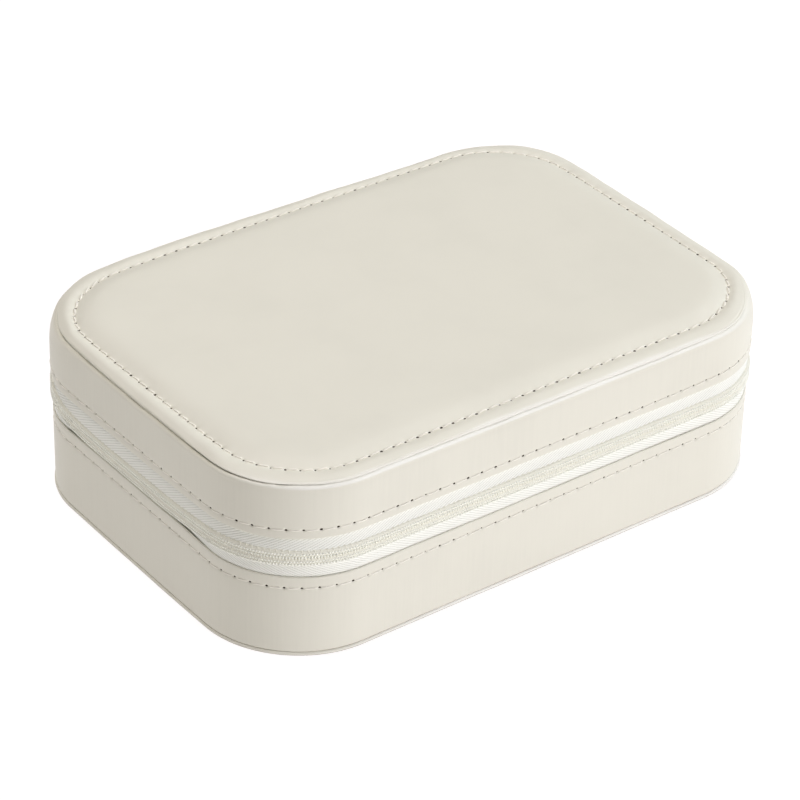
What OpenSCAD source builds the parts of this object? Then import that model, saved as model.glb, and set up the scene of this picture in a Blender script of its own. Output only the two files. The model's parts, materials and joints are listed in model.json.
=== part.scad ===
// Zip-round travel jewellery box: a leather-covered base and lid with rounded
// upright corners, joined by a leather strip along the back and closed by a
// nylon coil zip. X is the long side, the front faces -Y, the strip is on +Y,
// and the origin is the middle of the underside.

/* [Overall] */
// Length of the box, left to right
box_l = 160; // [150:1:190]
// Depth of the box, front to back
box_w = 114; // [108:1:130]
// Outside radius of the upright corners
corner_r = 27; // [24:0.5:30]

/* [Heights] */
// Height of the base's upper edge above the table
base_edge_z = 22.4; // [22:0.1:28]
// Height of the gap between base and lid that the zip fills
zip_gap = 10.3; // [10:0.1:12]
// Height of the lid's side band
lid_band_h = 15.1; // [14:0.1:20]
// How far the padded top stands above the side band
top_rise = 2.1; // [2:0.1:2.6]

/* [Layers] */
// Thickness of the leather skin
skin_t = 1.1; // [0.9:0.1:1.2]
// How far the base's skin sits inside the lid's
base_step = 0.3; // [0.1:0.1:0.5]
// Thickness of the zip tape
tape_t = 0.5; // [0.4:0.1:0.6]
// Thickness of the rigid wall boards
board_t = 2; // [1.6:0.1:2.4]
// Thickness of the lining on its card
lining_t = 0.8; // [0.6:0.1:1]

/* [Zip] */
// Width of the closed coil chain
chain_w = 5.1; // [4.8:0.1:5.6]
// Slot between the two coil rails that the slider's bridge runs in
chain_slot = 1.4; // [1.3:0.1:1.6]
// Length of the slider
slider_l = 11; // [10:0.5:12]
// Where the slider stands when the box is shut, towards the back
slider_y = 22; // [18:1:23]
// Length of the pull, from its eye to its end
pull_l = 26; // [20:1:30]

/* [Inside] */
// Number of ring rolls side by side
roll_count = 4; // [4:1:4]
// Pitch of the ring rolls
roll_pitch = 11.5; // [11:0.1:12]
// Left face of the ring-roll block
rolls_x = -21; // [-24:1:-18]
// Thickness of the partitions and dividers
divider_t = 2; // [1.6:0.1:2.4]
// Number of necklace tabs in the lid
tab_count = 5; // [3:1:5]
// Pitch of the necklace tabs
tab_pitch = 24; // [20:1:26]

/* [Hidden] */
$fn = 96;
e = 0.01;
// heights
lid_edge_z = base_edge_z + zip_gap;
lid_top_z = lid_edge_z + lid_band_h;
top_z = lid_top_z + top_rise;
chain_z = base_edge_z + 5.7;
hinge_z = base_edge_z + zip_gap / 2;
cover_t = 0.9;
floor_t = 2;
pad_t = 1.5;
floor_z = cover_t + floor_t;
inside_z = floor_z + pad_t;
// inset of each layer from the lid's outside face
o_tape = skin_t;
o_board = skin_t + tape_t;
o_lining = o_board + board_t;
o_inside = o_lining + lining_t;
coil_t = skin_t;
tape_in = 6;
strip_x = box_l / 2 - corner_r - 1.2;
// the shut lid's ceiling
board_z = lid_top_z - 0.9;
panel_t = 1.4;
ceiling_z = board_z - panel_t;
// inside plan
in_x = box_l / 2 - o_inside;
in_y = box_w / 2 - o_inside;
rolls_w = roll_count * roll_pitch;
roll_r = roll_pitch / 2 - 0.05;
roll_z = 15.3;
divider_top = base_edge_z - 1.8;

leather = [0.93, 0.92, 0.88];
suede = [0.86, 0.82, 0.76];
board = [0.72, 0.66, 0.56];
tape = [0.95, 0.95, 0.93];
nylon = [0.91, 0.91, 0.86];
gold = [0.83, 0.72, 0.5];

// outline of the box, o inside the lid's outer face
module outline(o) {
    l = box_l - 2 * o;
    w = box_w - 2 * o;
    r = corner_r - o;
    union() {
        square([l - 2 * r, w], center = true);
        square([l, w - 2 * r], center = true);
        for (sx = [-1, 1], sy = [-1, 1])
            translate([sx * (l / 2 - r), sy * (w / 2 - r)]) circle(r = r);
    }
}

module slab(o, z0, z1) {
    translate([0, 0, z0]) linear_extrude(z1 - z0) outline(o);
}

// upright wall between insets o0 and o1
module wall(o0, o1, z0, z1) {
    translate([0, 0, z0]) linear_extrude(z1 - z0)
        difference() {
            outline(o0);
            outline(o1);
        }
}

// the same wall, left open along the back where the hinge strip is
module zip_wall(o0, o1, z0, z1) {
    translate([0, 0, z0]) linear_extrude(z1 - z0)
        difference() {
            outline(o0);
            outline(o1);
            translate([-strip_x - 0.4, box_w / 2 - 10])
                square([2 * strip_x + 0.8, 20]);
        }
}

// profile (inset, height) carried round the outline
module sweep(points) {
    a = box_l / 2 - corner_r;
    b = box_w / 2 - corner_r;
    prof = [for (p = points) [corner_r - p[0], p[1]]];
    for (m = [0, 1]) mirror([m, 0, 0]) for (k = [0, 1]) mirror([0, k, 0])
        translate([a, b, 0]) rotate_extrude(angle = 90) polygon(prof);
    for (k = [0, 1]) mirror([0, k, 0])
        translate([-a, b, 0]) rotate([90, 0, 90])
            linear_extrude(2 * a) polygon(prof);
    for (m = [0, 1]) mirror([m, 0, 0])
        translate([a, b, 0]) rotate([90, 0, 0])
            linear_extrude(2 * b) polygon(prof);
}

// ---- base ----

module bottom_cover() {
    color(leather) slab(base_step + 0.5, 0, cover_t);
}

module base_floor_board() {
    color(board) slab(o_board, cover_t, floor_z);
}

module base_wall_board() {
    color(board) wall(o_board, o_lining, floor_z, base_edge_z - 0.4);
}

// skin with a thicker backing below the zip tape
module base_side_skin() {
    color(leather) union() {
        wall(base_step, o_tape, cover_t, base_edge_z);
        wall(o_tape, o_board, cover_t, base_edge_z - tape_in - 0.1);
    }
}

// lining turned over the top of the wall board
module base_wall_lining() {
    color(suede) union() {
        wall(o_lining, o_inside, floor_z, base_edge_z - 0.4);
        wall(o_board, o_inside, base_edge_z - 0.4, base_edge_z + 0.1);
    }
}

module base_floor_pad() {
    color(suede) slab(o_inside, floor_z, inside_z);
}

module lower_zip_tape() {
    color(tape)
        zip_wall(o_tape, o_board, base_edge_z - tape_in,
            chain_z - chain_slot / 2 - 0.1);
}

module lower_zip_coil() {
    color(nylon)
        zip_wall(o_tape - coil_t, o_tape, chain_z - chain_w / 2,
            chain_z - chain_slot / 2);
}

// leather strip that joins base and lid along the back
module hinge_strip() {
    color(leather)
        translate([-strip_x, box_w / 2 - o_board + 0.05, base_edge_z - tape_in])
            cube([2 * strip_x, tape_t - 0.1, zip_gap + 2 * tape_in]);
}

// lining over the inside of the hinge
module hinge_lining() {
    color(suede)
        translate([-strip_x, box_w / 2 - o_lining, base_edge_z + 0.15])
            cube([2 * strip_x, 0.5, zip_gap - 0.35]);
}

// ---- inside the base ----

module partition(x) {
    translate([x, -in_y + 0.05, inside_z])
        cube([divider_t, 2 * in_y - 0.1, divider_top - inside_z]);
}

module left_partition() {
    color(suede) partition(rolls_x - divider_t);
}

module right_partition() {
    color(suede) partition(rolls_x + rolls_w);
}

module ring_roll_base() {
    color(suede)
        translate([rolls_x + 0.05, -in_y + 0.1, inside_z])
            cube([rolls_w - 0.1, 2 * in_y - 0.2, roll_z - roll_r - inside_z - 0.1]);
}

module ring_roll(n) {
    color(suede)
        translate([rolls_x + (n - 0.5) * roll_pitch, in_y - 0.3, roll_z])
            rotate([90, 0, 0]) cylinder(r = roll_r, h = 2 * in_y - 0.6);
}

// loose divider between a side wall and a partition
module divider(x0, x1) {
    translate([x0 + 0.3, -divider_t / 2, inside_z + 0.1])
        cube([x1 - x0 - 0.6, divider_t, divider_top - inside_z - 0.1]);
}

module left_divider() {
    color(suede) divider(-in_x, rolls_x - divider_t);
}

module right_divider() {
    color(suede) divider(rolls_x + rolls_w + divider_t, in_x);
}

// ---- slider ----

// plate outline along the side, wide at the leading end
module slider_plate(half) {
    polygon([
        [-slider_l / 2, -half + 0.7], [-slider_l / 2 + 1, -half],
        [slider_l / 2 - 2.5, -half], [slider_l / 2, -half + 1.6],
        [slider_l / 2, half - 1.6], [slider_l / 2 - 2.5, half],
        [-slider_l / 2 + 1, half], [-slider_l / 2, half - 0.7]
    ]);
}

module on_side(n) {
    translate([box_l / 2 + n, slider_y, chain_z]) rotate([90, 0, 90]) children();
}

module zip_slider() {
    color(gold) union() {
        // front plate, back plate and the bridge between them
        on_side(0.1) linear_extrude(1) slider_plate(3.9);
        on_side(-o_board - 1) linear_extrude(0.9) slider_plate(3.5);
        translate([box_l / 2 - o_board - 0.5, slider_y + 1.6, chain_z - 0.5])
            cube([o_board + 0.9, 3, 1]);
        // loop that holds the pull
        translate([box_l / 2, slider_y, chain_z - 0.8]) linear_extrude(1.6)
            polygon([
                [0.9, -3.7], [2.6, -3.1], [3.1, -2.2], [3.1, 2.2], [2.6, 3.1],
                [0.9, 3.7], [0.9, 2.9], [2.1, 2.4], [2.35, 1.9], [2.35, -1.9],
                [2.1, -2.4], [0.9, -2.9]
            ]);
    }
}

// flat pull whose round bar turns inside the slider's loop
module zip_pull() {
    px = box_l / 2 + 1.65;
    color(gold) union() {
        translate([px, slider_y, chain_z - 2.9]) cylinder(r = 0.42, h = 5.8);
        for (s = [-1, 1])
            translate([px - 0.42, slider_y - 5.4, chain_z + (s > 0 ? 1.3 : -2.9)])
                cube([0.84, 5.4, 1.6]);
        translate([px - 0.42, slider_y, chain_z]) rotate([90, 0, 90])
            linear_extrude(0.84) difference() {
                union() {
                    polygon([
                        [-5, -2.9], [-5, 2.9], [-8, 2.9], [-11, 3.6],
                        [-pull_l + 3.6, 3.6], [-pull_l + 3.6, -3.6],
                        [-11, -3.6], [-8, -2.9]
                    ]);
                    translate([-pull_l + 3.6, 0]) circle(r = 3.6);
                }
                translate([-pull_l + 3.6, 0]) circle(r = 1.5);
            }
    }
}

// ---- lid ----

module lid_side_skin() {
    color(leather) union() {
        wall(0, o_tape, lid_edge_z, lid_top_z);
        wall(o_tape, o_board, lid_edge_z + tape_in + 0.1, lid_top_z - 0.9);
    }
}

module lid_wall_board() {
    color(board) wall(o_board, o_lining, lid_edge_z + 0.4, board_z);
}

module top_panel_board() {
    color(board) slab(o_board, board_z, board_z + 1.2);
}

module top_foam_pad() {
    color([0.9, 0.88, 0.8]) slab(9.1, board_z + 1.2, top_z - 1.05);
}

// padded cover: rolled rim, sewn valley, puffed middle
module top_cover() {
    z0 = lid_top_z;
    color(leather) difference() {
        union() {
            sweep([
                [12, z0], [12, top_z - 0.1], [9, top_z - 0.5], [7.4, top_z - 0.85],
                [6.2, top_z - 1.25], [5.6, top_z - 1.35], [5, top_z - 1.2],
                [4.2, top_z - 0.95], [3.4, top_z - 0.85], [2.6, top_z - 0.95],
                [1.6, top_z - 1.3], [0.9, top_z - 1.6], [0.7, top_z - 1.85], [0.7, z0]
            ]);
            slab(12, z0, top_z);
        }
        slab(o_board, z0 - 1, top_z - 1.8);
        slab(9, z0 - 1, top_z - 1);
    }
}

module upper_zip_tape() {
    color(tape)
        zip_wall(o_tape, o_board, chain_z + chain_slot / 2 + 0.1,
            lid_edge_z + tape_in);
}

module upper_zip_coil() {
    color(nylon)
        zip_wall(o_tape - coil_t, o_tape, chain_z + chain_slot / 2,
            chain_z + chain_w / 2);
}

module lid_wall_lining() {
    color(suede) union() {
        wall(o_lining, o_inside, lid_edge_z + 0.4, ceiling_z);
        wall(o_board, o_inside, lid_edge_z - 0.1, lid_edge_z + 0.4);
    }
}

module lid_panel_lining() {
    color(suede) slab(o_lining, ceiling_z, board_z);
}

// gathered pocket on the hinge half of the lid's ceiling
module lid_pocket() {
    color(suede)
        intersection() {
            slab(o_inside + 0.4, ceiling_z - 1.4, ceiling_z);
            translate([-box_l / 2, 8, 0]) cube([box_l, box_w, 100]);
        }
}

module pocket_elastic() {
    color(suede)
        translate([-in_x + 2, 6.9, ceiling_z - 1.2]) rotate([0, 90, 0])
            cylinder(r = 1.1, h = 2 * in_x - 4);
}

// strip the necklace tabs are sewn to
module tab_backing_strip() {
    color(leather)
        translate([-(tab_count - 1) * tab_pitch / 2 - 8, -in_y + 6, ceiling_z - 0.8])
            cube([(tab_count - 1) * tab_pitch + 16, 10, 0.8]);
}

// folded leather straps that close over a chain
module necklace_tabs() {
    color(leather)
        for (i = [0 : tab_count - 1])
            translate([(i - (tab_count - 1) / 2) * tab_pitch, 0, 0])
                translate([0, 0, ceiling_z - 2]) linear_extrude(1.2) union() {
                    translate([-4.5, -in_y + 7]) square([9, 18]);
                    translate([0, -in_y + 25]) circle(r = 4.5);
                }
}

module tab_snaps() {
    color(gold)
        for (i = [0 : tab_count - 1])
            translate([(i - (tab_count - 1) / 2) * tab_pitch, -in_y + 12, ceiling_z - 2.9])
                cylinder(r = 3.2, h = 0.9);
}

bottom_cover();
base_floor_board();
base_wall_board();
base_side_skin();
base_wall_lining();
base_floor_pad();
lower_zip_tape();
lower_zip_coil();
hinge_strip();
hinge_lining();
left_partition();
right_partition();
ring_roll_base();
ring_roll(1);  // ring_roll_1
ring_roll(2);  // ring_roll_2
ring_roll(3);  // ring_roll_3
ring_roll(4);  // ring_roll_4
left_divider();
right_divider();
zip_slider();
zip_pull();
lid_side_skin();
lid_wall_board();
top_panel_board();
top_foam_pad();
top_cover();
upper_zip_tape();
upper_zip_coil();
lid_wall_lining();
lid_panel_lining();
lid_pocket();
pocket_elastic();
necklace_tabs();
tab_backing_strip();
tab_snaps();
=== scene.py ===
"""Travel jewelry box: the looks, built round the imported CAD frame."""
import json
import math
import random

import bmesh
import bpy
import numpy as np
from mathutils import Matrix, Vector


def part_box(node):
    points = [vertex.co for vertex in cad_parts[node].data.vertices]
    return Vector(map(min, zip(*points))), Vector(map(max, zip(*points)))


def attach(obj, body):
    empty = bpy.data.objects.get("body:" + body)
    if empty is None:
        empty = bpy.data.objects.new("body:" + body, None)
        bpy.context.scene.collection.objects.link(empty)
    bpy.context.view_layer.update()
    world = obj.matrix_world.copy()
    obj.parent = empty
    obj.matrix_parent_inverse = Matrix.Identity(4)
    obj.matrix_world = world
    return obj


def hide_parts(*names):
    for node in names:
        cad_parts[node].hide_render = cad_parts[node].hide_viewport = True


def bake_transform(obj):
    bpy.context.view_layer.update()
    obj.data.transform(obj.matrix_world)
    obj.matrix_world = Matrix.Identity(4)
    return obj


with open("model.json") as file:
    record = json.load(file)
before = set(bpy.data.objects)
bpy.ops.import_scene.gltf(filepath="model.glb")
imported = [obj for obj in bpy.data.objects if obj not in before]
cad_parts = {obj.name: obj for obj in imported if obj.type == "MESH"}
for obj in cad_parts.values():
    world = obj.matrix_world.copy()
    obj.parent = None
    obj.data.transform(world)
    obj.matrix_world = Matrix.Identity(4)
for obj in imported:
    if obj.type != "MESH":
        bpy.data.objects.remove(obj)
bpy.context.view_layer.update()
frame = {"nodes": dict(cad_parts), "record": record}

# ------------------------------------------------------------------ sizes, from the frame
MM = 0.001
_lo, _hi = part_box("lid_side_skin")
LEN, WID = (_hi.x - _lo.x) / MM, (_hi.y - _lo.y) / MM
LID_EDGE, LID_TOP = _lo.z / MM, _hi.z / MM
_lo, _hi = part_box("base_side_skin")
BASE_TOP = _hi.z / MM
_lo, _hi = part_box("top_cover")
TOP = _hi.z / MM
_lo, _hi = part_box("lower_zip_coil")
_lo2, _hi2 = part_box("upper_zip_coil")
CHAIN = (_hi.z + _lo2.z) / 2 / MM
_lo, _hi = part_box("hinge_strip")
STRIP_X = _hi.x / MM
RAD = 27.0
HINGE = Vector((0, WID / 2 * MM, 0.02755))
scene = bpy.context.scene


# ------------------------------------------------------------------ the outline and sweeps
class Outline:
    """The box's outline, walked from the middle of the back to the left, front, right and back again."""

    def __init__(self, r=RAD):
        a, b = LEN / 2 - r, WID / 2 - r
        q = math.pi / 2 * r
        self.a, self.b, self.r = a, b, r
        self.runs = [
            (a, "s", (0, WID / 2), (-1, 0), (0, 1)),
            (q, "c", (-a, b), math.pi / 2, None),
            (2 * b, "s", (-LEN / 2, b), (0, -1), (-1, 0)),
            (q, "c", (-a, -b), math.pi, None),
            (2 * a, "s", (-a, -WID / 2), (1, 0), (0, -1)),
            (q, "c", (a, -b), 3 * math.pi / 2, None),
            (2 * b, "s", (LEN / 2, -b), (0, 1), (1, 0)),
            (q, "c", (a, b), 0.0, None),
            (a, "s", (a, WID / 2), (-1, 0), (0, 1)),
        ]
        self.length = sum(x[0] for x in self.runs)

    def at(self, s):
        """Point on the outer face, outward normal and forward direction at the distances s, in mm."""
        s = np.asarray(s, float)
        pts, nor, fwd = (np.zeros((len(s), 2)) for _ in range(3))
        start = 0.0
        wrapped = np.mod(s, self.length)
        for k, (run, kind, p, d, n) in enumerate(self.runs):
            last = k == len(self.runs) - 1
            m = (wrapped >= start - 1e-9) & ((wrapped < start + run - 1e-9) | last)
            t = wrapped[m] - start
            if kind == "s":
                pts[m] = np.array(p) + t[:, None] * np.array(d)
                nor[m] = n
                fwd[m] = d
            else:
                ang = d + t / self.r
                dirs = np.stack([np.cos(ang), np.sin(ang)], 1)
                pts[m] = np.array(p) + self.r * dirs
                nor[m] = dirs
                fwd[m] = np.stack([-np.sin(ang), np.cos(ang)], 1)
            start += run
        return pts, nor, fwd


OUT = Outline()


def waves(s, seed, parts, length=OUT.length):
    """A smooth, repeatable wobble round the outline: parts is a list of (how many waves round, amplitude)."""
    rng = random.Random(seed)
    y = np.zeros_like(np.asarray(s, float))
    for n, amp in parts:
        y += amp * np.sin(2 * math.pi * (np.asarray(s) * n / length + rng.random()))
    return y


class Track:
    """A value that drifts along the outline; keys are (distance, value), smoothed and closed."""

    def __init__(self, keys, soft=4.0):
        k = np.array(keys, float)
        step = 0.5
        x = np.arange(0, OUT.length, step)
        y = np.interp(x, k[:, 0], k[:, 1], period=OUT.length)
        n = int(3 * soft / step)
        g = np.exp(-0.5 * (np.arange(-n, n + 1) * step / soft) ** 2)
        self.x, self.y = x, np.convolve(np.concatenate([y[-n:], y, y[:n]]), g / g.sum(), "valid")

    def __call__(self, s):
        return np.interp(np.asarray(s, float), self.x, self.y, period=OUT.length)


# how the hand-made box strays from its drawing, in mm
STITCH_IN = Track([(0, -0.25), (35, -0.2), (50, 0.1), (62, 1.2), (76, 1.1), (90, 0.2), (100, -0.3), (145, -0.25), (160, 0.2),
                   (174, 0.8), (188, 0.5), (200, 0.05), (260, 0.3), (290, 0.6), (300, 0.3), (312, 1.3), (326, 1.2), (340, 0.3),
                   (350, 0.0), (400, 0.0), (412, 0.4), (428, 0.9), (444, 0.5), (456, 0.1), (480, 0.0)])
SEAM = Track([(0, 0.0), (80, 0.05), (100, -0.05), (145, 0.0), (165, 0.05), (190, 0.1), (240, 0.05), (272, -0.15), (286, -0.25),
              (300, 0.0), (312, 0.3), (330, 0.3), (350, 0.0), (420, 0.0)])
RIM_ROUND = Track([(0, 0.0), (85, 0.05), (100, 0.15), (150, 0.15), (170, 0.08), (300, 0.05), (330, -0.05), (400, -0.1), (460, 0.0)])
SEAM_GAP = Track([(0, 0.05), (80, 0.4), (95, 0.9), (145, 0.9), (158, 0.45), (170, 0.28), (190, 0.22), (210, 0.2), (300, 0.18), (330, 0.1),
                  (400, 0.0)])
SECOND_LINE = Track([(0, 0.0), (160, 0.0), (185, 0.6), (205, 1.0), (300, 1.0), (325, 0.3), (340, 0.0)])
SEAM_DEEP = Track([(0, 0.0), (80, 0.0), (90, -0.05), (146, -0.05), (160, 0.4), (188, 0.45), (204, 0.2), (300, 0.15), (330, 0.0)])
EDGE_IN = Track([(0, 0.3), (12, 0.15), (20, 0.0), (44, 0.0), (52, 0.5), (60, 0.75), (70, 1.4), (80, 1.5), (88, 1.2), (98, 0.5),
                 (110, 0.1), (120, 0.0), (300, 0.0), (312, 0.3), (322, 1.3), (330, 1.75), (338, 1.3), (350, 0.9), (375, 0.6),
                 (392, 0.35), (405, 0.5), (420, 0.35), (430, 0.4), (440, 0.9), (452, 1.1), (470, 0.85), (492, 0.65),
                 (510, 0.25), (525, 0.0)], 3.0)
EDGE_DOWN = Track([(0, 0.2), (20, 0.0), (45, 0.0), (52, 0.2), (66, 0.3), (84, 0.1), (100, 0.0), (320, 0.0), (340, 0.0),
                   (352, 0.05), (375, 0.0), (390, 0.05), (405, 0.2), (425, 0.15), (436, 0.55), (450, 0.75), (462, 0.7),
                   (480, 0.3), (500, 0.2), (515, 0.05)], 3.0)
TURNED = Track([(0, 0.05), (80, 0.05), (100, 0.0), (150, 0.0), (165, 0.08), (300, 0.08), (330, 0.05)])
LID_LOW = Track([(0, 0.0), (90, -0.05), (135, -0.1), (150, 0.2), (162, 0.55), (184, 0.75), (200, 0.85), (300, 0.85), (318, 0.9),
                 (345, 0.4), (365, 0.0)])
LID_SEW = Track([(0, 0.0), (70, -0.1), (90, -0.45), (130, -0.42), (145, -0.35), (155, -0.1), (165, 0.25), (176, 0.42), (186, 0.55),
                 (200, 0.4), (216, 0.3), (236, 0.25), (284, 0.32), (300, 0.6), (312, 1.0), (326, 1.0), (345, 0.5), (365, 0.1)])
BASE_SEW = Track([(0, 0.1), (80, 0.3), (95, 0.55), (130, 0.52), (145, 0.42), (162, 0.2), (190, 0.25), (210, 0.1), (268, 0.03),
                  (285, 0.15), (310, 0.3), (345, 0.1)])
BASE_EDGE = Track([(0, 0.0), (80, 0.0), (90, 0.45), (98, 0.85), (143, 0.85), (152, 0.6), (162, 0.3), (176, 0.05), (190, 0.0),
                   (350, 0.0)], 3.0)
CHAIN_DIP = Track([(0, 0.0), (74, 0.4), (81, 0.8), (88, 0.1), (94, -1.1), (100, -1.85), (108, -2.1), (134, -2.05), (144, -1.75), (152, -1.15),
                   (160, -0.5), (170, -0.3), (186, 0.0), (215, 0.0), (236, -0.2), (252, -0.35), (272, -0.2), (300, -0.05),
                   (330, 0.0)], 2.5)


FOOT_OUT = Track([(0, 0.0), (88, 0.0), (104, 0.22), (118, 0.34), (152, 0.36), (172, 0.1), (190, 0.0), (200, 0.0)], 4.0)
LEFT_GAP = Track([(0, 0.0), (92, 0.0), (100, 1.0), (146, 1.0), (156, 0.0), (200, 0.0)], 3.0)


def link(name, me, mat=None, smooth=True):
    ob = bpy.data.objects.new(name, me)
    scene.collection.objects.link(ob)
    if mat is not None:
        me.materials.append(mat)
    if smooth:
        me.polygons.foreach_set("use_smooth", [True] * len(me.polygons))
    return ob


def mesh(name, verts, faces, mat=None, smooth=True):
    """verts in mm."""
    me = bpy.data.meshes.new(name)
    me.from_pydata((np.asarray(verts, float) * MM).tolist(), [], faces)
    me.validate()
    me.update()
    return link(name, me, mat, smooth)


def grid_faces(ns, npf, closed_s, closed_p, base=0):
    i = np.arange(ns if closed_s else ns - 1)
    j = np.arange(npf if closed_p else npf - 1)
    ii, jj = np.meshgrid(i, j, indexing="ij")
    i2, j2 = (ii + 1) % ns, (jj + 1) % npf
    f = np.stack([ii * npf + jj, i2 * npf + jj, i2 * npf + j2, ii * npf + j2], -1)
    return (f.reshape(-1, 4) + base).tolist()


def swept(name, s, inset, z, mat, closed_s=True, closed_p=True, smooth=True, caps=False):
    """inset and z are (len(s), points) arrays in mm; the profile runs so that its outside faces out."""
    p, n, _ = OUT.at(s)
    x = p[:, None, 0] - inset * n[:, None, 0]
    y = p[:, None, 1] - inset * n[:, None, 1]
    v = np.stack([x, y, z], -1)
    ns, npf = z.shape
    faces = grid_faces(ns, npf, closed_s, closed_p)
    if caps and not closed_s:
        faces.append(list(range(npf))[::-1])
        faces.append([(ns - 1) * npf + k for k in range(npf)])
    return mesh(name, v.reshape(-1, 3), faces, mat, smooth)


def smooth_profile(points, step, closed=False):
    """Resamples a polyline of (inset, z) with a Catmull-Rom curve."""
    p = np.array(points, float)
    n = len(p)
    out = []
    last = n if closed else n - 1
    for k in range(last):
        p1, p2 = p[k], p[(k + 1) % n]
        p0 = p[k - 1] if closed or k > 0 else 2 * p1 - p2
        p3 = p[(k + 2) % n] if closed or k + 2 < n else 2 * p2 - p1
        m = max(1, int(round(np.linalg.norm(p2 - p1) / step)))
        for t in np.linspace(0, 1, m, endpoint=False):
            out.append(
                0.5 * ((2 * p1) + (p2 - p0) * t + (2 * p0 - 5 * p1 + 4 * p2 - p3) * t**2
                       + (3 * p1 - p0 - 3 * p2 + p3) * t**3)
            )
    if not closed:
        out.append(p[-1])
    return np.array(out)


def tubes(name, paths, radius, sides, mat, caps=True, flat=None):
    """Many tubes in one mesh. Each path is (n, 3) in mm; radius is a number or a list of n-long arrays."""
    verts, faces = [], []
    base = 0
    for q, path in enumerate(paths):
        path = np.asarray(path, float)
        n = len(path)
        tan = np.gradient(path, axis=0)
        tan /= np.linalg.norm(tan, axis=1)[:, None] + 1e-12
        ref = np.array([0, 0, 1.0]) if abs(tan[0, 2]) < 0.9 else np.array([1.0, 0, 0])
        u = np.cross(tan[0], ref)
        u /= np.linalg.norm(u)
        us = [u]
        for k in range(1, n):
            u = us[-1] - tan[k] * (us[-1] @ tan[k])
            u /= np.linalg.norm(u) + 1e-12
            us.append(u)
        us = np.array(us)
        vs = np.cross(tan, us)
        r = radius[q] if isinstance(radius, list) else radius
        r = np.broadcast_to(np.asarray(r, float), (n,))
        ang = np.linspace(0, 2 * math.pi, sides, endpoint=False)
        ring = (path[:, None, :] + r[:, None, None] * (
            np.cos(ang)[None, :, None] * us[:, None, :] + np.sin(ang)[None, :, None] * vs[:, None, :]))
        verts.append(ring.reshape(-1, 3))
        faces += grid_faces(n, sides, False, True, base)
        if caps:
            faces.append([base + k for k in range(sides)][::-1])
            faces.append([base + (n - 1) * sides + k for k in range(sides)])
        base += n * sides
    return mesh(name, np.concatenate(verts), faces, mat)


# ------------------------------------------------------------------ materials
def nodes_of(name):
    m = bpy.data.materials.new(name)
    m.use_nodes = True
    nt = m.node_tree
    bsdf = nt.nodes["Principled BSDF"]
    return m, nt, bsdf


def add(nt, kind, **kw):
    n = nt.nodes.new(kind)
    for k, v in kw.items():
        if k == "inputs":
            for key, val in v.items():
                n.inputs[key].default_value = val
        else:
            setattr(n, k, v)
    return n


def coords(nt):
    return add(nt, "ShaderNodeTexCoord").outputs["Object"]


def noise(nt, vec, scale, detail=2.0, rough=0.5):
    n = add(nt, "ShaderNodeTexNoise", inputs={"Scale": scale, "Detail": detail, "Roughness": rough})
    nt.links.new(vec, n.inputs["Vector"])
    return n.outputs["Fac"]


def ramp(nt, fac, stops):
    r = add(nt, "ShaderNodeValToRGB")
    e = r.color_ramp.elements
    e[0].position, e[0].color = stops[0][0], (*stops[0][1], 1)
    e[1].position, e[1].color = stops[-1][0], (*stops[-1][1], 1)
    for pos, col in stops[1:-1]:
        x = e.new(pos)
        x.color = (*col, 1)
    nt.links.new(fac, r.inputs["Fac"])
    return r.outputs["Color"]


def math_node(nt, op, a, b=None, clamp=False):
    n = add(nt, "ShaderNodeMath", operation=op)
    n.use_clamp = clamp
    for k, v in enumerate((a, b)):
        if v is None:
            continue
        if isinstance(v, (int, float)):
            n.inputs[k].default_value = v
        else:
            nt.links.new(v, n.inputs[k])
    return n.outputs[0]


def srgb(r, g, b):
    def f(c):
        c /= 255
        return c / 12.92 if c <= 0.04045 else ((c + 0.055) / 1.055) ** 2.4
    return (f(r), f(g), f(b))


def scaled(c, k):
    return tuple(min(1.0, x * k) for x in c)


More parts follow.
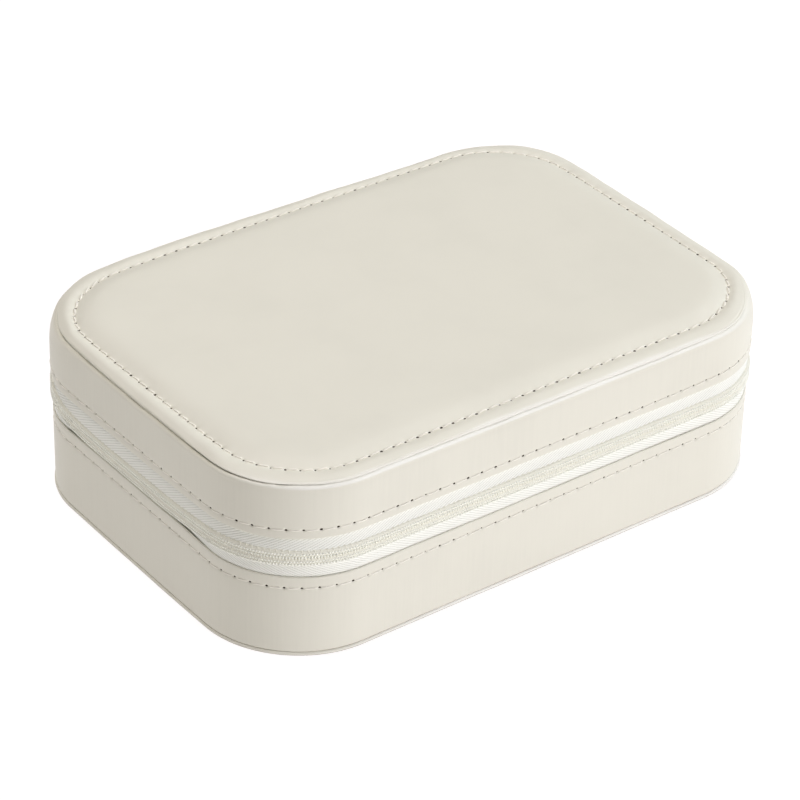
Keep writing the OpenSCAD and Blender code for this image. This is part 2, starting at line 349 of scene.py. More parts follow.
def leather(name, colour, grain=2600.0, bump=0.12, rough=(0.58, 0.70), spec=0.33, streaks=0.0, coat=0.0, turned=0.0):
    m, nt, bsdf = nodes_of(name)
    v = coords(nt)
    tone = noise(nt, v, 45.0, 3.0, 0.55)
    if streaks:
        tall = add(nt, "ShaderNodeMapping", inputs={"Scale": (1.0, 1.0, 0.04)})
        nt.links.new(v, tall.inputs["Vector"])
        tone = math_node(nt, "ADD", tone, math_node(nt, "MULTIPLY", math_node(
            nt, "SUBTRACT", noise(nt, tall.outputs["Vector"], 1500.0, 2.0), 0.5), streaks))
    colour_out = ramp(nt, tone, [(0.3, scaled(colour, 0.98)), (0.5, colour), (0.72, scaled(colour, 1.012))])
    # painted highlight: mixes a near-white strip into the colour along the front edges, where the key light falls
    if turned:
        highlight_share = math_node(nt, "MULTIPLY", add(nt, "ShaderNodeAttribute", attribute_name="turned").outputs["Fac"], turned)
        highlight_mix = add(nt, "ShaderNodeMix", data_type="RGBA")
        nt.links.new(highlight_share, highlight_mix.inputs["Factor"])
        nt.links.new(colour_out, highlight_mix.inputs[6])
        highlight_tone = srgb(251, 250, 245)
        highlight_mix.inputs[7].default_value = (*highlight_tone, 1) if len(highlight_tone) == 3 else highlight_tone
        colour_out = highlight_mix.outputs[2]
    nt.links.new(colour_out, bsdf.inputs["Base Color"])
    fine = noise(nt, v, 900.0, 3.0, 0.6)
    r = add(nt, "ShaderNodeMapRange", inputs={"From Min": 0.3, "From Max": 0.7, "To Min": rough[0], "To Max": rough[1]})
    nt.links.new(fine, r.inputs["Value"])
    nt.links.new(r.outputs["Result"], bsdf.inputs["Roughness"])
    bsdf.inputs["Specular IOR Level"].default_value = spec
    bsdf.inputs["Coat Weight"].default_value = coat
    bsdf.inputs["Coat Roughness"].default_value = 0.3
    cells = add(nt, "ShaderNodeTexVoronoi", feature="DISTANCE_TO_EDGE", inputs={"Scale": grain, "Randomness": 1.0})
    nt.links.new(v, cells.inputs["Vector"])
    pebble = math_node(nt, "MINIMUM", cells.outputs["Distance"], 0.22)
    pebble = math_node(nt, "MULTIPLY", pebble, 2.4)
    mix = math_node(nt, "ADD", pebble, math_node(nt, "MULTIPLY", noise(nt, v, 6000.0, 2.0), 0.3))
    mix = math_node(nt, "ADD", mix, math_node(nt, "MULTIPLY", noise(nt, v, 260.0, 2.0), 1.2))
    b = add(nt, "ShaderNodeBump", inputs={"Strength": bump, "Distance": 0.00012})
    nt.links.new(mix, b.inputs["Height"])
    nt.links.new(b.outputs["Normal"], bsdf.inputs["Normal"])
    return m


def fibre(name, colour, scale=1500.0, bump=0.5, rough=0.9, sheen=0.25, dark=0.9, dist=0.0002):
    """Suede, velvet and cloth."""
    m, nt, bsdf = nodes_of(name)
    v = coords(nt)
    tone = noise(nt, v, scale * 0.06, 4.0, 0.6)
    nt.links.new(ramp(nt, tone, [(0.25, scaled(colour, dark)), (0.55, colour), (0.8, scaled(colour, 1.05))]),
                 bsdf.inputs["Base Color"])
    bsdf.inputs["Roughness"].default_value = rough
    bsdf.inputs["Specular IOR Level"].default_value = 0.2
    bsdf.inputs["Sheen Weight"].default_value = sheen
    bsdf.inputs["Sheen Roughness"].default_value = 0.4
    b = add(nt, "ShaderNodeBump", inputs={"Strength": bump, "Distance": dist})
    h = math_node(nt, "ADD", noise(nt, v, scale, 4.0, 0.7), math_node(nt, "MULTIPLY", noise(nt, v, scale * 3.1, 2.0), 0.5))
    nt.links.new(h, b.inputs["Height"])
    nt.links.new(b.outputs["Normal"], bsdf.inputs["Normal"])
    return m


def metal(name, colour, rough=0.28):
    m, nt, bsdf = nodes_of(name)
    v = coords(nt)
    bsdf.inputs["Metallic"].default_value = 1.0
    nt.links.new(ramp(nt, noise(nt, v, 300.0, 3.0), [(0.3, scaled(colour, 0.93)), (0.7, colour)]), bsdf.inputs["Base Color"])
    r = add(nt, "ShaderNodeMapRange", inputs={"From Min": 0.3, "From Max": 0.7, "To Min": rough - 0.06, "To Max": rough + 0.08})
    nt.links.new(noise(nt, v, 1400.0, 3.0), r.inputs["Value"])
    nt.links.new(r.outputs["Result"], bsdf.inputs["Roughness"])
    b = add(nt, "ShaderNodeBump", inputs={"Strength": 0.01, "Distance": 0.00002})
    nt.links.new(noise(nt, v, 5000.0, 2.0), b.inputs["Height"])
    nt.links.new(b.outputs["Normal"], bsdf.inputs["Normal"])
    return m


CREAM = srgb(229, 226, 212)
LEATHER = leather("cream_leather", CREAM, coat=0.2, turned=0.5)
BANDLEATHER = leather("cream_leather_band", CREAM, streaks=0.6, coat=0.3, turned=0.6)
THREAD = fibre("sewing_thread", srgb(246, 242, 231), scale=6000.0, bump=0.4, rough=0.7, sheen=0.1, dist=0.00006)
# painted shade: the dark colour stands for the shadow inside each needle hole
HOLE_SHADE = fibre("needle_hole_shade", srgb(66, 56, 44), scale=3000.0, bump=0.1, rough=0.9, sheen=0.0, dist=0.00004)


LEAN, RIB = 27, 0.62


def twill(name, sign):
    """Zip tape: slanting ribs with painted shade between them, crossed by fine weft threads."""
    m, nt, bsdf = nodes_of(name)
    lean = math.radians(LEAN) * sign
    al = add(nt, "ShaderNodeAttribute", attribute_name="along").outputs["Fac"]
    he = add(nt, "ShaderNodeAttribute", attribute_name="height").outputs["Fac"]
    ph = math_node(nt, "SUBTRACT", math_node(nt, "MULTIPLY", he, math.cos(lean)), math_node(nt, "MULTIPLY", al, math.sin(lean)))
    rib = math_node(nt, "ABSOLUTE", math_node(nt, "SINE", math_node(nt, "MULTIPLY", ph, math.pi / (RIB * MM))))
    rib = math_node(nt, "POWER", rib, 0.7)
    weft = math_node(nt, "SINE", math_node(nt, "MULTIPLY", al, 2 * math.pi / 0.00042))
    weft = math_node(nt, "MULTIPLY", weft, 0.10)
    fuzz = math_node(nt, "MULTIPLY", noise(nt, coords(nt), 5200.0, 2.0), 0.14)
    tone = math_node(nt, "ADD", math_node(nt, "ADD", rib, weft), fuzz)
    # painted shade: the colour darkens in the valleys between the ribs; the weft and fuzz vary it as the weave does
    nt.links.new(ramp(nt, tone, [(0.12, srgb(203, 203, 192)), (0.5, srgb(239, 239, 229)), (0.85, srgb(249, 249, 241))]),
                 bsdf.inputs["Base Color"])
    bsdf.inputs["Roughness"].default_value = 0.62
    bsdf.inputs["Specular IOR Level"].default_value = 0.3
    bsdf.inputs["Sheen Weight"].default_value = 0.15
    b = add(nt, "ShaderNodeBump", inputs={"Strength": 0.5, "Distance": 0.00008})
    nt.links.new(tone, b.inputs["Height"])
    nt.links.new(b.outputs["Normal"], bsdf.inputs["Normal"])
    return m


TAPE_UP, TAPE_DOWN = twill("zip_tape_twill_up", 1), twill("zip_tape_twill_down", -1)
COIL = leather("zip_coil_nylon", srgb(238, 236, 221), grain=5000.0, bump=0.02, rough=(0.5, 0.6), spec=0.3)
COILCORE = leather("zip_coil_core", srgb(238, 236, 222), grain=5000.0, bump=0.02, rough=(0.6, 0.7), spec=0.25)
COILTHREAD = fibre("coil_thread", srgb(248, 248, 238), scale=7000.0, bump=0.3, rough=0.65, sheen=0.1, dist=0.00005)
BOARD = fibre("grey_board", srgb(176, 168, 152), scale=900.0, bump=0.3, rough=0.95, sheen=0.0)
SUEDE = fibre("suede_lining", srgb(222, 211, 197), scale=2400.0, bump=0.5, rough=0.95, sheen=0.35, dark=0.93, dist=0.00012)
VELVET = fibre("ring_roll_velvet", srgb(226, 216, 203), scale=2800.0, bump=0.6, rough=0.95, sheen=0.5, dark=0.92, dist=0.00014)
CLOTH = fibre("pocket_cloth", srgb(224, 214, 200), scale=3400.0, bump=0.5, rough=0.9, sheen=0.3, dark=0.94, dist=0.0001)
TABLEATHER = leather("tab_leather", srgb(230, 225, 213), grain=3000.0, bump=0.14)
GOLD = metal("pale_gold", (0.83, 0.66, 0.42), 0.24)
FOAM = fibre("foam", srgb(236, 231, 214), scale=1800.0, bump=0.6, rough=0.95, sheen=0.0)

# ------------------------------------------------------------------ outer leather
class StitchLine:
    """Evenly spaced needle holes on a line that lies inset in from the outer face; one hole is at hole_at."""

    def __init__(self, inset, pitch, hole_at, drift=None):
        self.fine = np.linspace(0, OUT.length, 20001)
        p, n, _ = OUT.at(np.append(self.fine[:-1], 0.0))
        ins = inset + (drift(self.fine) if drift else 0.0 * self.fine)
        q = p - ins[:, None] * n
        self.run = np.concatenate([[0], np.cumsum(np.linalg.norm(np.diff(q, axis=0), axis=1))])
        self.total = self.run[-1]
        self.count = int(round(self.total / pitch))
        self.pitch = self.total / self.count
        self.first = np.interp(hole_at, self.fine, self.run) % self.pitch
        self.inset = inset
        self.holes = self.at(np.arange(self.count))

    def at(self, k):
        """Distance along the outline of the place k pitches along the line."""
        x = np.asarray(k, float) * self.pitch + self.first
        lap = np.floor(x / self.total)
        return np.interp(x - lap * self.total, self.run, self.fine) + lap * OUT.length

    def dist(self, s):
        """Distance to the nearest hole, along the line, in mm."""
        r = (np.interp(np.mod(s, OUT.length), self.fine, self.run) - self.first) / self.pitch
        return np.abs(r - np.round(r)) * self.pitch

    def columns(self, cuts):
        return self.at((np.arange(self.count)[:, None] + np.array(cuts)[None, :]).ravel())


CUTS = (0, 0.045, 0.1, 0.17, 0.3, 0.5, 0.7, 0.83, 0.9, 0.955)


def thread_row(name, line, place, radius, rise, sink, slant, body, mat=None, gap=0.3, seed=3):
    """One thread over each gap between holes; place(s, side, up) gives points in mm."""
    rng = random.Random(seed)
    paths, radii = [], []
    t = np.linspace(0, 1, 9)
    for k in range(line.count):
        g = gap / line.pitch
        s = line.at(k + g + (1 - 2 * g) * t)
        w = slant * (t - 0.5) * 2 + rng.uniform(-0.03, 0.03)
        up = rise * (1 - (2 * t - 1) ** 4) - sink * (2 * t - 1) ** 8 + rng.uniform(-0.015, 0.015)
        paths.append(place(s, w, up))
        radii.append(radius * (1 - 0.3 * (2 * t - 1) ** 6))
    ob = tubes(name, paths, radii, 6, mat or THREAD)
    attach(ob, body)
    return ob


def hole_row(name, line, on_surface, radius, body, long=1.25, size_at=None):
    """A dark patch of painted shade over each needle hole, standing for the shadow inside it. on_surface(s, side,
    proud) gives points in mm.
    """
    verts, faces = [], []
    k = 12
    ang = np.linspace(0, 2 * math.pi, k, endpoint=False)
    ratio = OUT.length / line.total
    rng = random.Random(len(line.holes))
    size = radius
    for s in line.holes:
        radius = size * rng.uniform(0.68, 1.08) * (float(size_at(s)) if size_at else 1.0)
        base = len(verts)
        for r, h in ((1.0, 0.012), (0.66, 0.03), (0.3, 0.035)):
            verts += list(on_surface(s + ratio * radius * long * r * np.cos(ang), radius * r * np.sin(ang), h))
        verts += list(on_surface(np.array([s]), np.array([0.0]), 0.035))
        for ring in range(2):
            for j in range(k):
                j2 = (j + 1) % k
                o = base + ring * k
                faces.append([o + j, o + j2, o + k + j2, o + k + j])
        for j in range(k):
            faces.append([base + 2 * k + j, base + 2 * k + (j + 1) % k, base + 3 * k])
    ob = mesh(name, np.array(verts), faces, HOLE_SHADE)
    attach(ob, body)
    return ob


# --- padded, stitched top
SEW_IN = 5.6
TOP_LINE = StitchLine(SEW_IN, 3.47, 237.2, STITCH_IN)
RIM = smooth_profile([
    (2.2, LID_TOP - 0.75), (1.3, LID_TOP - 0.74), (1.06, LID_TOP - 0.66), (0.98, LID_TOP - 0.4), (0.95, LID_TOP - 0.15),
    (0.9, LID_TOP + 0.0), (0.77, LID_TOP + 0.12), (0.66, LID_TOP + 0.27), (0.72, LID_TOP + 0.4), (0.95, LID_TOP + 0.5), (1.3, LID_TOP + 0.62), (2.0, LID_TOP + 0.84),
    (2.8, LID_TOP + 1.03), (3.5, LID_TOP + 1.1), (4.2, LID_TOP + 1.05), (4.9, LID_TOP + 0.9), (5.3, LID_TOP + 0.8),
    (5.6, LID_TOP + 0.74), (5.9, LID_TOP + 0.8), (6.5, LID_TOP + 1.0), (7.4, LID_TOP + 1.28), (8.5, LID_TOP + 1.58),
    (10.0, LID_TOP + 1.86), (12.0, LID_TOP + 2.0), (15.0, LID_TOP + 2.06), (20.0, LID_TOP + 2.09), (27.0, LID_TOP + 2.1)], 0.3)
_k = int(np.argmin(RIM[:, 0]))
_over = RIM[_k:]


def rim_height(inset):
    return np.interp(inset, _over[:, 0], _over[:, 1])


def seam_lift(s):
    return SEAM(s) - EDGE_DOWN(s) + waves(s, 11, [(7, 0.05), (13, 0.05), (23, 0.05), (41, 0.035)])


def rim_place(s, u):
    """The inset at which the place u on the drawing's profile really lies: the stitches wander, the edge does not."""
    a = np.clip((u - 0.8) / 4.2, 0, 1)
    b = np.clip((u - 8) / 12, 0, 1)
    c = np.clip((u - 0.66) / 4.6, 0, 1)
    return u + STITCH_IN(s) * a * a * (3 - 2 * a) * (1 - b * b * (3 - 2 * b)) + EDGE_IN(s) * (1 - c * c * (3 - 2 * c))


def top_relief(s, u):
    """What the seam, the stitches and the hand of the sewer do to the even height, in mm."""
    d = TOP_LINE.dist(s)
    off = u - SEW_IN
    near = np.exp(-((off / 0.75) ** 2))
    z = -0.05 * near * np.exp(-((d / 0.8) ** 2))
    z -= 0.42 * np.exp(-((d / 0.36) ** 2)) * np.exp(-((off / 0.3) ** 2))
    z += 0.05 * np.exp(-(((off + 1.0) / 0.7) ** 2)) * (1 - 2 * np.exp(-((d / 0.9) ** 2)))
    z += 0.02 * np.exp(-(((off - 1.1) / 0.8) ** 2)) * (1 - 2 * np.exp(-((d / 0.9) ** 2)))
    z += np.exp(-(((np.abs(off) - 1.6) / 1.3) ** 2)) * waves(s, 5, [(9, 0.04), (21, 0.035), (37, 0.03), (53, 0.02)])
    z += np.exp(-(((u - 2.0) / 1.3) ** 2)) * waves(s, 6, [(8, 0.04), (17, 0.04), (31, 0.03)])
    # the turned edge shows through as a faint second line above the seam
    z -= SECOND_LINE(s) * np.clip(0.1 + waves(s, 14, [(5, 0.03), (12, 0.02)]), 0, 1) * np.exp(-(((u - 1.3) / 0.14) ** 2))
    z += RIM_ROUND(s) * np.exp(-(((u - 2.5) / 1.3) ** 2))
    return z + seam_lift(s) * np.clip(1 - (u - 0.66) / 6, 0, 1) ** 1.5


def pad_wave(x, y):
    """Very soft unevenness of the padded panel, in mm."""
    return (0.045 * np.sin(x / 23 + 0.6) * np.cos(y / 19 - 0.4) + 0.03 * np.sin(x / 11 + y / 17 + 1.0)
            + 0.018 * np.cos(x / 7.3 - y / 9.1))


def top_xy(s, inset):
    """Point in plan; past the corners' centres the rings go on shrinking as rectangles."""
    p, n, _ = OUT.at(s)
    q = p - np.minimum(inset, RAD)[..., None] * n
    d = np.maximum(inset - RAD, 0)
    return np.stack([q[..., 0] * (OUT.a - d) / OUT.a, q[..., 1] * (OUT.b - d) / OUT.b], -1)


def close_mesh(name, verts, faces, mat):
    bm = bmesh.new()
    vs = [bm.verts.new(q * MM) for q in verts]
    for f in faces:
        bm.faces.new([vs[k] for k in f])
    bmesh.ops.remove_doubles(bm, verts=list(bm.verts), dist=0.00003)
    bmesh.ops.dissolve_degenerate(bm, dist=0.000002, edges=list(bm.edges))
    for _ in range(2):
        edges = [e for e in bm.edges if e.is_boundary]
        if edges:
            bmesh.ops.holes_fill(bm, edges=edges, sides=0)
    bmesh.ops.recalc_face_normals(bm, faces=list(bm.faces))
    me = bpy.data.meshes.new(name)
    bm.to_mesh(me)
    bm.free()
    return link(name, me, mat)


def paint_edge_highlight(ob, z0, z1):
    """Marks a painted highlight, paler along the front, where the leather is folded over an edge; it grows from height
    z0 to z1, in mm.
    """
    co = np.empty(len(ob.data.vertices) * 3, np.float32)
    ob.data.vertices.foreach_get("co", co)
    x, y, z = (co.reshape(-1, 3) / MM).T
    side = np.clip((-26 - y) / 12, 0, 1) * np.clip((76 - x) / 26, 0, 1)
    w = side * np.clip((x + 82) / 14, 0, 1) * np.clip((z - z0) / (z1 - z0), 0, 1)
    a = ob.data.attributes.new("turned", "FLOAT", "POINT")
    a.data.foreach_set("value", w.astype(np.float32))


def build_top():
    s = TOP_LINE.columns(CUTS)
    under = RIM[:_k + 1]
    over = [u for u in RIM[_k + 1:, 0] if abs(u - SEW_IN) > 0.8 and abs(u - 1.3) > 0.3]
    over += [1.02, 1.1, 1.18, 1.24, 1.3, 1.36, 1.42, 1.5, 1.6]
    over += list(SEW_IN + np.array([-0.75, -0.52, -0.34, -0.2, -0.08, 0.08, 0.2, 0.34, 0.52, 0.75]))
    over += list(RAD + np.array([1.5, 4, 7, 10, 13, 16, 19, 22, 25]))
    over = np.array(sorted(over))
    low = np.clip(1 - (LID_TOP + 0.14 - under[:, 1]) / 0.2, 0.0, 1)[None]
    I1 = np.repeat(under[None, :, 0], len(s), 0) + low * waves(s, 8, [(9, 0.03), (17, 0.03), (31, 0.02)])[:, None]
    back = np.clip((LID_TOP + 0.2 - under[:, 1]) / 0.25, 0, 1)[None]
    I1 = I1 + EDGE_IN(s)[:, None] + back * SEAM_DEEP(s)[:, None]
    Z1 = np.repeat(under[None, :, 1], len(s), 0) + low * seam_lift(s)[:, None]
    U2 = np.repeat(over[None], len(s), 0)
    S2 = np.repeat(s[:, None], len(over), 1)
    Z2 = rim_height(np.minimum(U2, RAD)) + top_relief(S2.ravel(), U2.ravel()).reshape(U2.shape)
    I2 = rim_place(S2.ravel(), U2.ravel()).reshape(U2.shape)
    inset = np.concatenate([I1, I2], 1)
    z = np.concatenate([Z1, Z2], 1)
    ss = np.repeat(s[:, None], inset.shape[1], 1)
    xy = top_xy(ss.ravel(), inset.ravel()).reshape(*inset.shape, 2)
    soft = np.clip((inset - 8) / 8, 0, 1) * np.clip((RAD + 25 - inset) / 12, 0, 1)
    z = z + soft * pad_wave(xy[..., 0], xy[..., 1])
    v = np.concatenate([xy, z[..., None]], -1)
    faces = grid_faces(len(s), inset.shape[1], True, False)
    ob = close_mesh("top_cover_leather", v.reshape(-1, 3), faces, LEATHER)
    # painted highlight on the rim just above the seam, along the front
    paint_edge_highlight(ob, LID_TOP + 0.78, LID_TOP + 0.5)
    return ob


def build_top_board():
    """The board inside the top, drawn in where the edge of the lid is drawn in."""
    s = np.linspace(0, OUT.length, 260, endpoint=False)
    prof = [(26.9, LID_TOP - 0.9), (12, LID_TOP - 0.9), (1.5, LID_TOP - 0.9), (1.42, LID_TOP - 0.82), (1.4, LID_TOP - 0.5),
            (1.4, LID_TOP - 0.2), (1.46, LID_TOP - 0.06), (1.6, LID_TOP), (9, LID_TOP + 0.3), (26.9, LID_TOP + 0.3)]
    I = np.array([q[0] for q in prof])[None] + np.where(np.array([q[0] for q in prof]) < 9, 1.0, 0.0)[None] * EDGE_IN(s)[:, None]
    Z = np.repeat(np.array([[q[1] for q in prof]]), len(s), 0)
    Z = Z - np.array([0, 0, 0, 0, 0, 1, 1, 1, 0, 0.0])[None] * np.minimum(EDGE_DOWN(s), 0.6)[:, None]
    ss = np.repeat(s[:, None], len(prof), 1)
    xy = top_xy(ss.ravel(), I.ravel()).reshape(*I.shape, 2)
    v = np.concatenate([xy, Z[..., None]], -1)
    ob = close_mesh("top_board", v.reshape(-1, 3), grid_faces(len(s), len(prof), True, False), BOARD)
    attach(ob, "lid")
    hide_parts("top_panel_board")


build_top_board()


def top_point(s, side, up):
    s, side = np.broadcast_arrays(np.asarray(s, float), np.asarray(side, float))
    u = SEW_IN + side
    z = rim_height(u) + top_relief(s, u)
    return np.column_stack([top_xy(s, rim_place(s, u)), z + up])


top = build_top()
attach(top, "lid")
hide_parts("top_cover")


def top_thread(s, side, up):
    u = SEW_IN + np.asarray(side)
    lift = seam_lift(s) * np.clip(1 - (u - 0.66) / 6, 0, 1) ** 1.5
    return np.column_stack([top_xy(s, rim_place(s, u)), rim_height(u) + lift + up])


thread_row("top_stitches", TOP_LINE, top_thread, 0.23, 0.08, 0.34, 0.2, "lid", gap=0.42)
hole_row("top_needle_holes", TOP_LINE, top_point, 0.31, "lid", long=1.15)


# --- side bands
def lid_edge_top(s):
    rough = np.exp(-(((s - 173) / 13) ** 2)) * waves(s, 31, [(67, 0.05), (101, 0.05), (149, 0.035)])
    return seam_lift(s) - SEAM_GAP(s) + rough


class Band:
    """A leather band with rounded, turned edges, a dented stitch line and a slightly uneven face."""

    def __init__(self, lo, hi, line_z, face, stitch, seed, lower_r, upper_r, lid, tracks, tail):
        self.lo, self.hi, self.line_z, self.face = lo, hi, line_z, face
        self.tracks, self.tail = tracks, tail
        self.stitch, self.seed, self.lower_r, self.upper_r, self.lid = stitch, seed, lower_r, upper_r, lid

    def inset(self, s, z):
        ins = np.full(np.broadcast(s, z).shape, self.face, float)
        for e, r in ((self.lo, self.lower_r), (self.hi, self.upper_r)):
            d = np.minimum(np.abs(z - e), r)
            ins = ins + r - np.sqrt(np.maximum(0, r * r - (r - d) ** 2))
        off = z - self.line_z
        d = self.stitch.dist(s)
        ins = ins + 0.045 * np.exp(-((off / 0.35) ** 2)) + 0.05 * np.exp(-((off / 1.1) ** 2))
        if self.lid:
            ins = ins + TURNED(s) * np.exp(-(((z - self.hi + 1.35) / 0.3) ** 2))
            ins = ins + EDGE_IN(s) * np.clip((z - self.hi + 10) / 10, 0, 1) ** 4
        else:
            ins = ins - FOOT_OUT(s) * np.clip((12 - z) / 11, 0, 1) ** 2
        ins = ins + 0.36 * np.exp(-((d / 0.34) ** 2)) * np.exp(-((off / 0.3) ** 2))
        ins = ins + 0.05 * np.exp(-((d / 0.9) ** 2)) * np.exp(-((off / 0.9) ** 2))
        mid = np.sin(np.pi * np.clip((z - self.lo) / (self.hi - self.lo), 0, 1))
        return ins + mid * waves(s, self.seed, [(5, 0.05), (11, 0.03), (19, 0.02)])

    def shift(self, s, z):
        """How far the edges and the stitch line wander up or down."""
        low, sew, high = (t(s) for t in self.tracks)
        t1 = np.clip((z - self.lo) / (self.line_z - self.lo), 0, 1)
        t2 = np.clip((z - self.line_z) / (self.hi - self.line_z), 0, 1)
        up = np.clip((t2 - 0.3) / 0.7, 0, 1) ** 2
        w = low + (sew - low) * t1 + (high - sew) * (t2 if self.lid else t2 ** 1.5)
        if self.lid:
            return w + up * waves(s, self.seed + 1, [(6, 0.03), (15, 0.02), (27, 0.02)]) + (1 - t1) * waves(
                s, self.seed + 2, [(8, 0.04), (17, 0.03)])
        return w + up * waves(s, self.seed + 3, [(7, 0.04), (15, 0.03), (29, 0.02)])

    def build(self, name, node, body, inner):
        lo, hi, c = self.lo, self.hi, self.line_z
        zs = np.concatenate([
            lo + np.array([0, 0.05, 0.14, 0.27, 0.45, 0.75, 1.1]), np.linspace(lo + 1.6, hi - 1.75, 9),
            hi - np.array([1.45, 1.25, 1.0, 0.75, 0.55, 0.38, 0.22, 0.1, 0.03, 0])])
        zs = zs[np.abs(zs - c) > 1.3]
        zs = np.sort(np.concatenate([zs, c + np.array([-1.25, -0.85, -0.55, -0.36, -0.22, -0.1, 0.0, 0.1, 0.22, 0.36, 0.55,
                                                       0.85, 1.25])]))
        s = self.stitch.columns(CUTS)
        S2, Z2 = np.meshgrid(s, zs, indexing="ij")
        I = self.inset(S2.ravel(), Z2.ravel()).reshape(S2.shape)
        Z = Z2 + self.shift(S2.ravel(), Z2.ravel()).reshape(S2.shape)
        lean = EDGE_IN(s)[:, None] if self.lid else np.zeros((len(s), 1))
        I = np.concatenate([I] + [lean + i for i, _ in self.tail] + [np.full((len(s), 1), inner)], 1)
        Z = np.concatenate([Z] + [Z[:, -1:] + dz for _, dz in self.tail] + [Z[:, :1] + 0.25], 1)
        ob = swept(name, s, I, Z, BANDLEATHER)
        if self.lid:
            # painted highlight along the band's top edge, at the front
            paint_edge_highlight(ob, hi - 1.0, hi - 0.6)
        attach(ob, body)
        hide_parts(node)
        return ob

    def point(self, s, side, up):
        s, side = np.broadcast_arrays(np.asarray(s, float), np.asarray(side, float))
        z = self.line_z + side
        p, n, _ = OUT.at(s)
        q = p - (self.inset(s, z) - up)[:, None] * n
        return np.column_stack([q, z + self.shift(s, z)])

    def thread(self, s, side, up):
        p, n, _ = OUT.at(s)
        z = np.broadcast_to(self.line_z + np.asarray(side, float), (len(s),))
        q = p - (self.face + 0.12 - up)[:, None] * n
        return np.column_stack([q, z + self.shift(s, z)])


HOLE_SIZE = {"lid": Track([(0, 0.8), (95, 0.72), (145, 0.78), (160, 1.0), (185, 1.15), (205, 1.0), (330, 0.9)]),
             "base": Track([(0, 0.7), (95, 0.6), (145, 0.7), (155, 1.0), (185, 1.05), (200, 0.8), (330, 0.72)])}
LID_BAND = Band(LID_EDGE, LID_TOP + 0.26, LID_EDGE + 2.75, 0.0, StitchLine(0, 4.11, 239.8), 21, 0.42, 1.0, True,
                (LID_LOW, LID_SEW, lid_edge_top), [(1.05, -0.04), (1.08, -0.2), (1.1, -0.5), (1.14, -0.7)])
BASE_BAND = Band(1.0, BASE_TOP, BASE_TOP - 3.35, 0.3, StitchLine(0.3, 4.2, 198.9), 37, 0.28, 0.3, False,
                 (Track([(0, 0.0), (200, 0.0)]), BASE_SEW, BASE_EDGE), [(0.72, -0.06), (0.8, -0.22), (0.86, -0.5), (1.08, -0.9)])
LID_BAND.build("lid_band_leather", "lid_side_skin", "lid", 1.08)
BASE_BAND.build("base_band_leather", "base_side_skin", "base", 1.08)
for _n, _b, _w in (("lid", LID_BAND, "lid"), ("base", BASE_BAND, "base")):
    thread_row(_n + "_stitches", _b.stitch, _b.thread, 0.19, 0.06, 0.32, 0.09, _w, gap=0.42, seed=5 + len(_n))
    hole_row(_n + "_needle_holes", _b.stitch, _b.point, 0.27, _w, long=1.3, size_at=HOLE_SIZE[_n])


# --- underside panel
def foot_light_and_shade(name, colour, lip_highlight, contact_shadow, crease_shade):
    """The cream leather with painted light and shade at the foot: a painted highlight on the lip where it is folded up
    at the rim, faint on the left, a painted contact shadow as a dark band right above the floor, and painted shade in
    the crease under the band.
    """
    m = leather(name, colour)
    nt = m.node_tree
    bsdf = next(n for n in nt.nodes if n.type == "BSDF_PRINCIPLED")
    colour_out = bsdf.inputs["Base Color"].links[0].from_socket
    at = add(nt, "ShaderNodeSeparateXYZ")
    nt.links.new(coords(nt), at.inputs[0])
    # painted light and shade: a painted highlight on the lip, a painted contact shadow right above the floor and
    # painted shade in the crease
    for lo, hi, tone in ((0.26, 0.34, lip_highlight), (0.3, 0.2, contact_shadow), (0.88, 0.94, crease_shade)):
        part = add(nt, "ShaderNodeMapRange", inputs={"From Min": lo * MM, "From Max": hi * MM, "To Min": 0.0, "To Max": 1.0})
        nt.links.new(at.outputs["Z"], part.inputs["Value"])
        share = part.outputs["Result"]
        if tone is lip_highlight:
            front = add(nt, "ShaderNodeMapRange", inputs={"From Min": -66 * MM, "From Max": -30 * MM, "To Min": 0.1, "To Max": 1.0})
            nt.links.new(at.outputs["X"], front.inputs["Value"])
            share = math_node(nt, "MULTIPLY", share, front.outputs["Result"])
        mix = add(nt, "ShaderNodeMix", data_type="RGBA")
        nt.links.new(share, mix.inputs["Factor"])
        nt.links.new(colour_out, mix.inputs[6])
        mix.inputs[7].default_value = (*tone, 1) if len(tone) == 3 else tone
        colour_out = mix.outputs[2]
    nt.links.new(colour_out, bsdf.inputs["Base Color"])
    return m


# the foot's painted highlight, painted contact shadow and painted shade
BOTTOM = foot_light_and_shade("cream_leather_bottom", CREAM, srgb(247, 245, 237), srgb(118, 108, 94), srgb(196, 188, 174))


def build_bottom():
    prof = smooth_profile([(1.3, 1.1), (1.1, 1.08), (0.85, 1.02), (0.5, 0.92), (0.22, 0.78), (0.1, 0.56), (0.09, 0.32), (0.14, 0.14),
                           (0.32, 0.04), (0.7, 0.0), (1.8, 0.0), (6, 0.0), (16, 0.0), (26.99, 0.0)], 0.2)
    s = np.linspace(0, OUT.length, int(OUT.length / 0.8), endpoint=False)
    inset = np.repeat(prof[None, :, 0], len(s), 0)
    Z = np.repeat(prof[None, :, 1], len(s), 0)
    inset = inset + (Z > 0.1) * waves(s, 51, [(9, 0.03), (19, 0.02)])[:, None]
    inset = inset - FOOT_OUT(s)[:, None] * np.clip((2.0 - inset) / 1.0, 0, 1)
    p, n, _ = OUT.at(s)
    v = np.stack([p[:, None, 0] - inset * n[:, None, 0], p[:, None, 1] - inset * n[:, None, 1], Z], -1)
    ob = close_mesh("bottom_panel_leather", v.reshape(-1, 3), grid_faces(len(s), v.shape[1], True, False), BOTTOM)
    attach(ob, "base")
    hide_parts("bottom_cover")


build_bottom()

# ------------------------------------------------------------------ zip
ZIP0 = STRIP_X - 0.3
ZIP1 = OUT.length - ZIP0


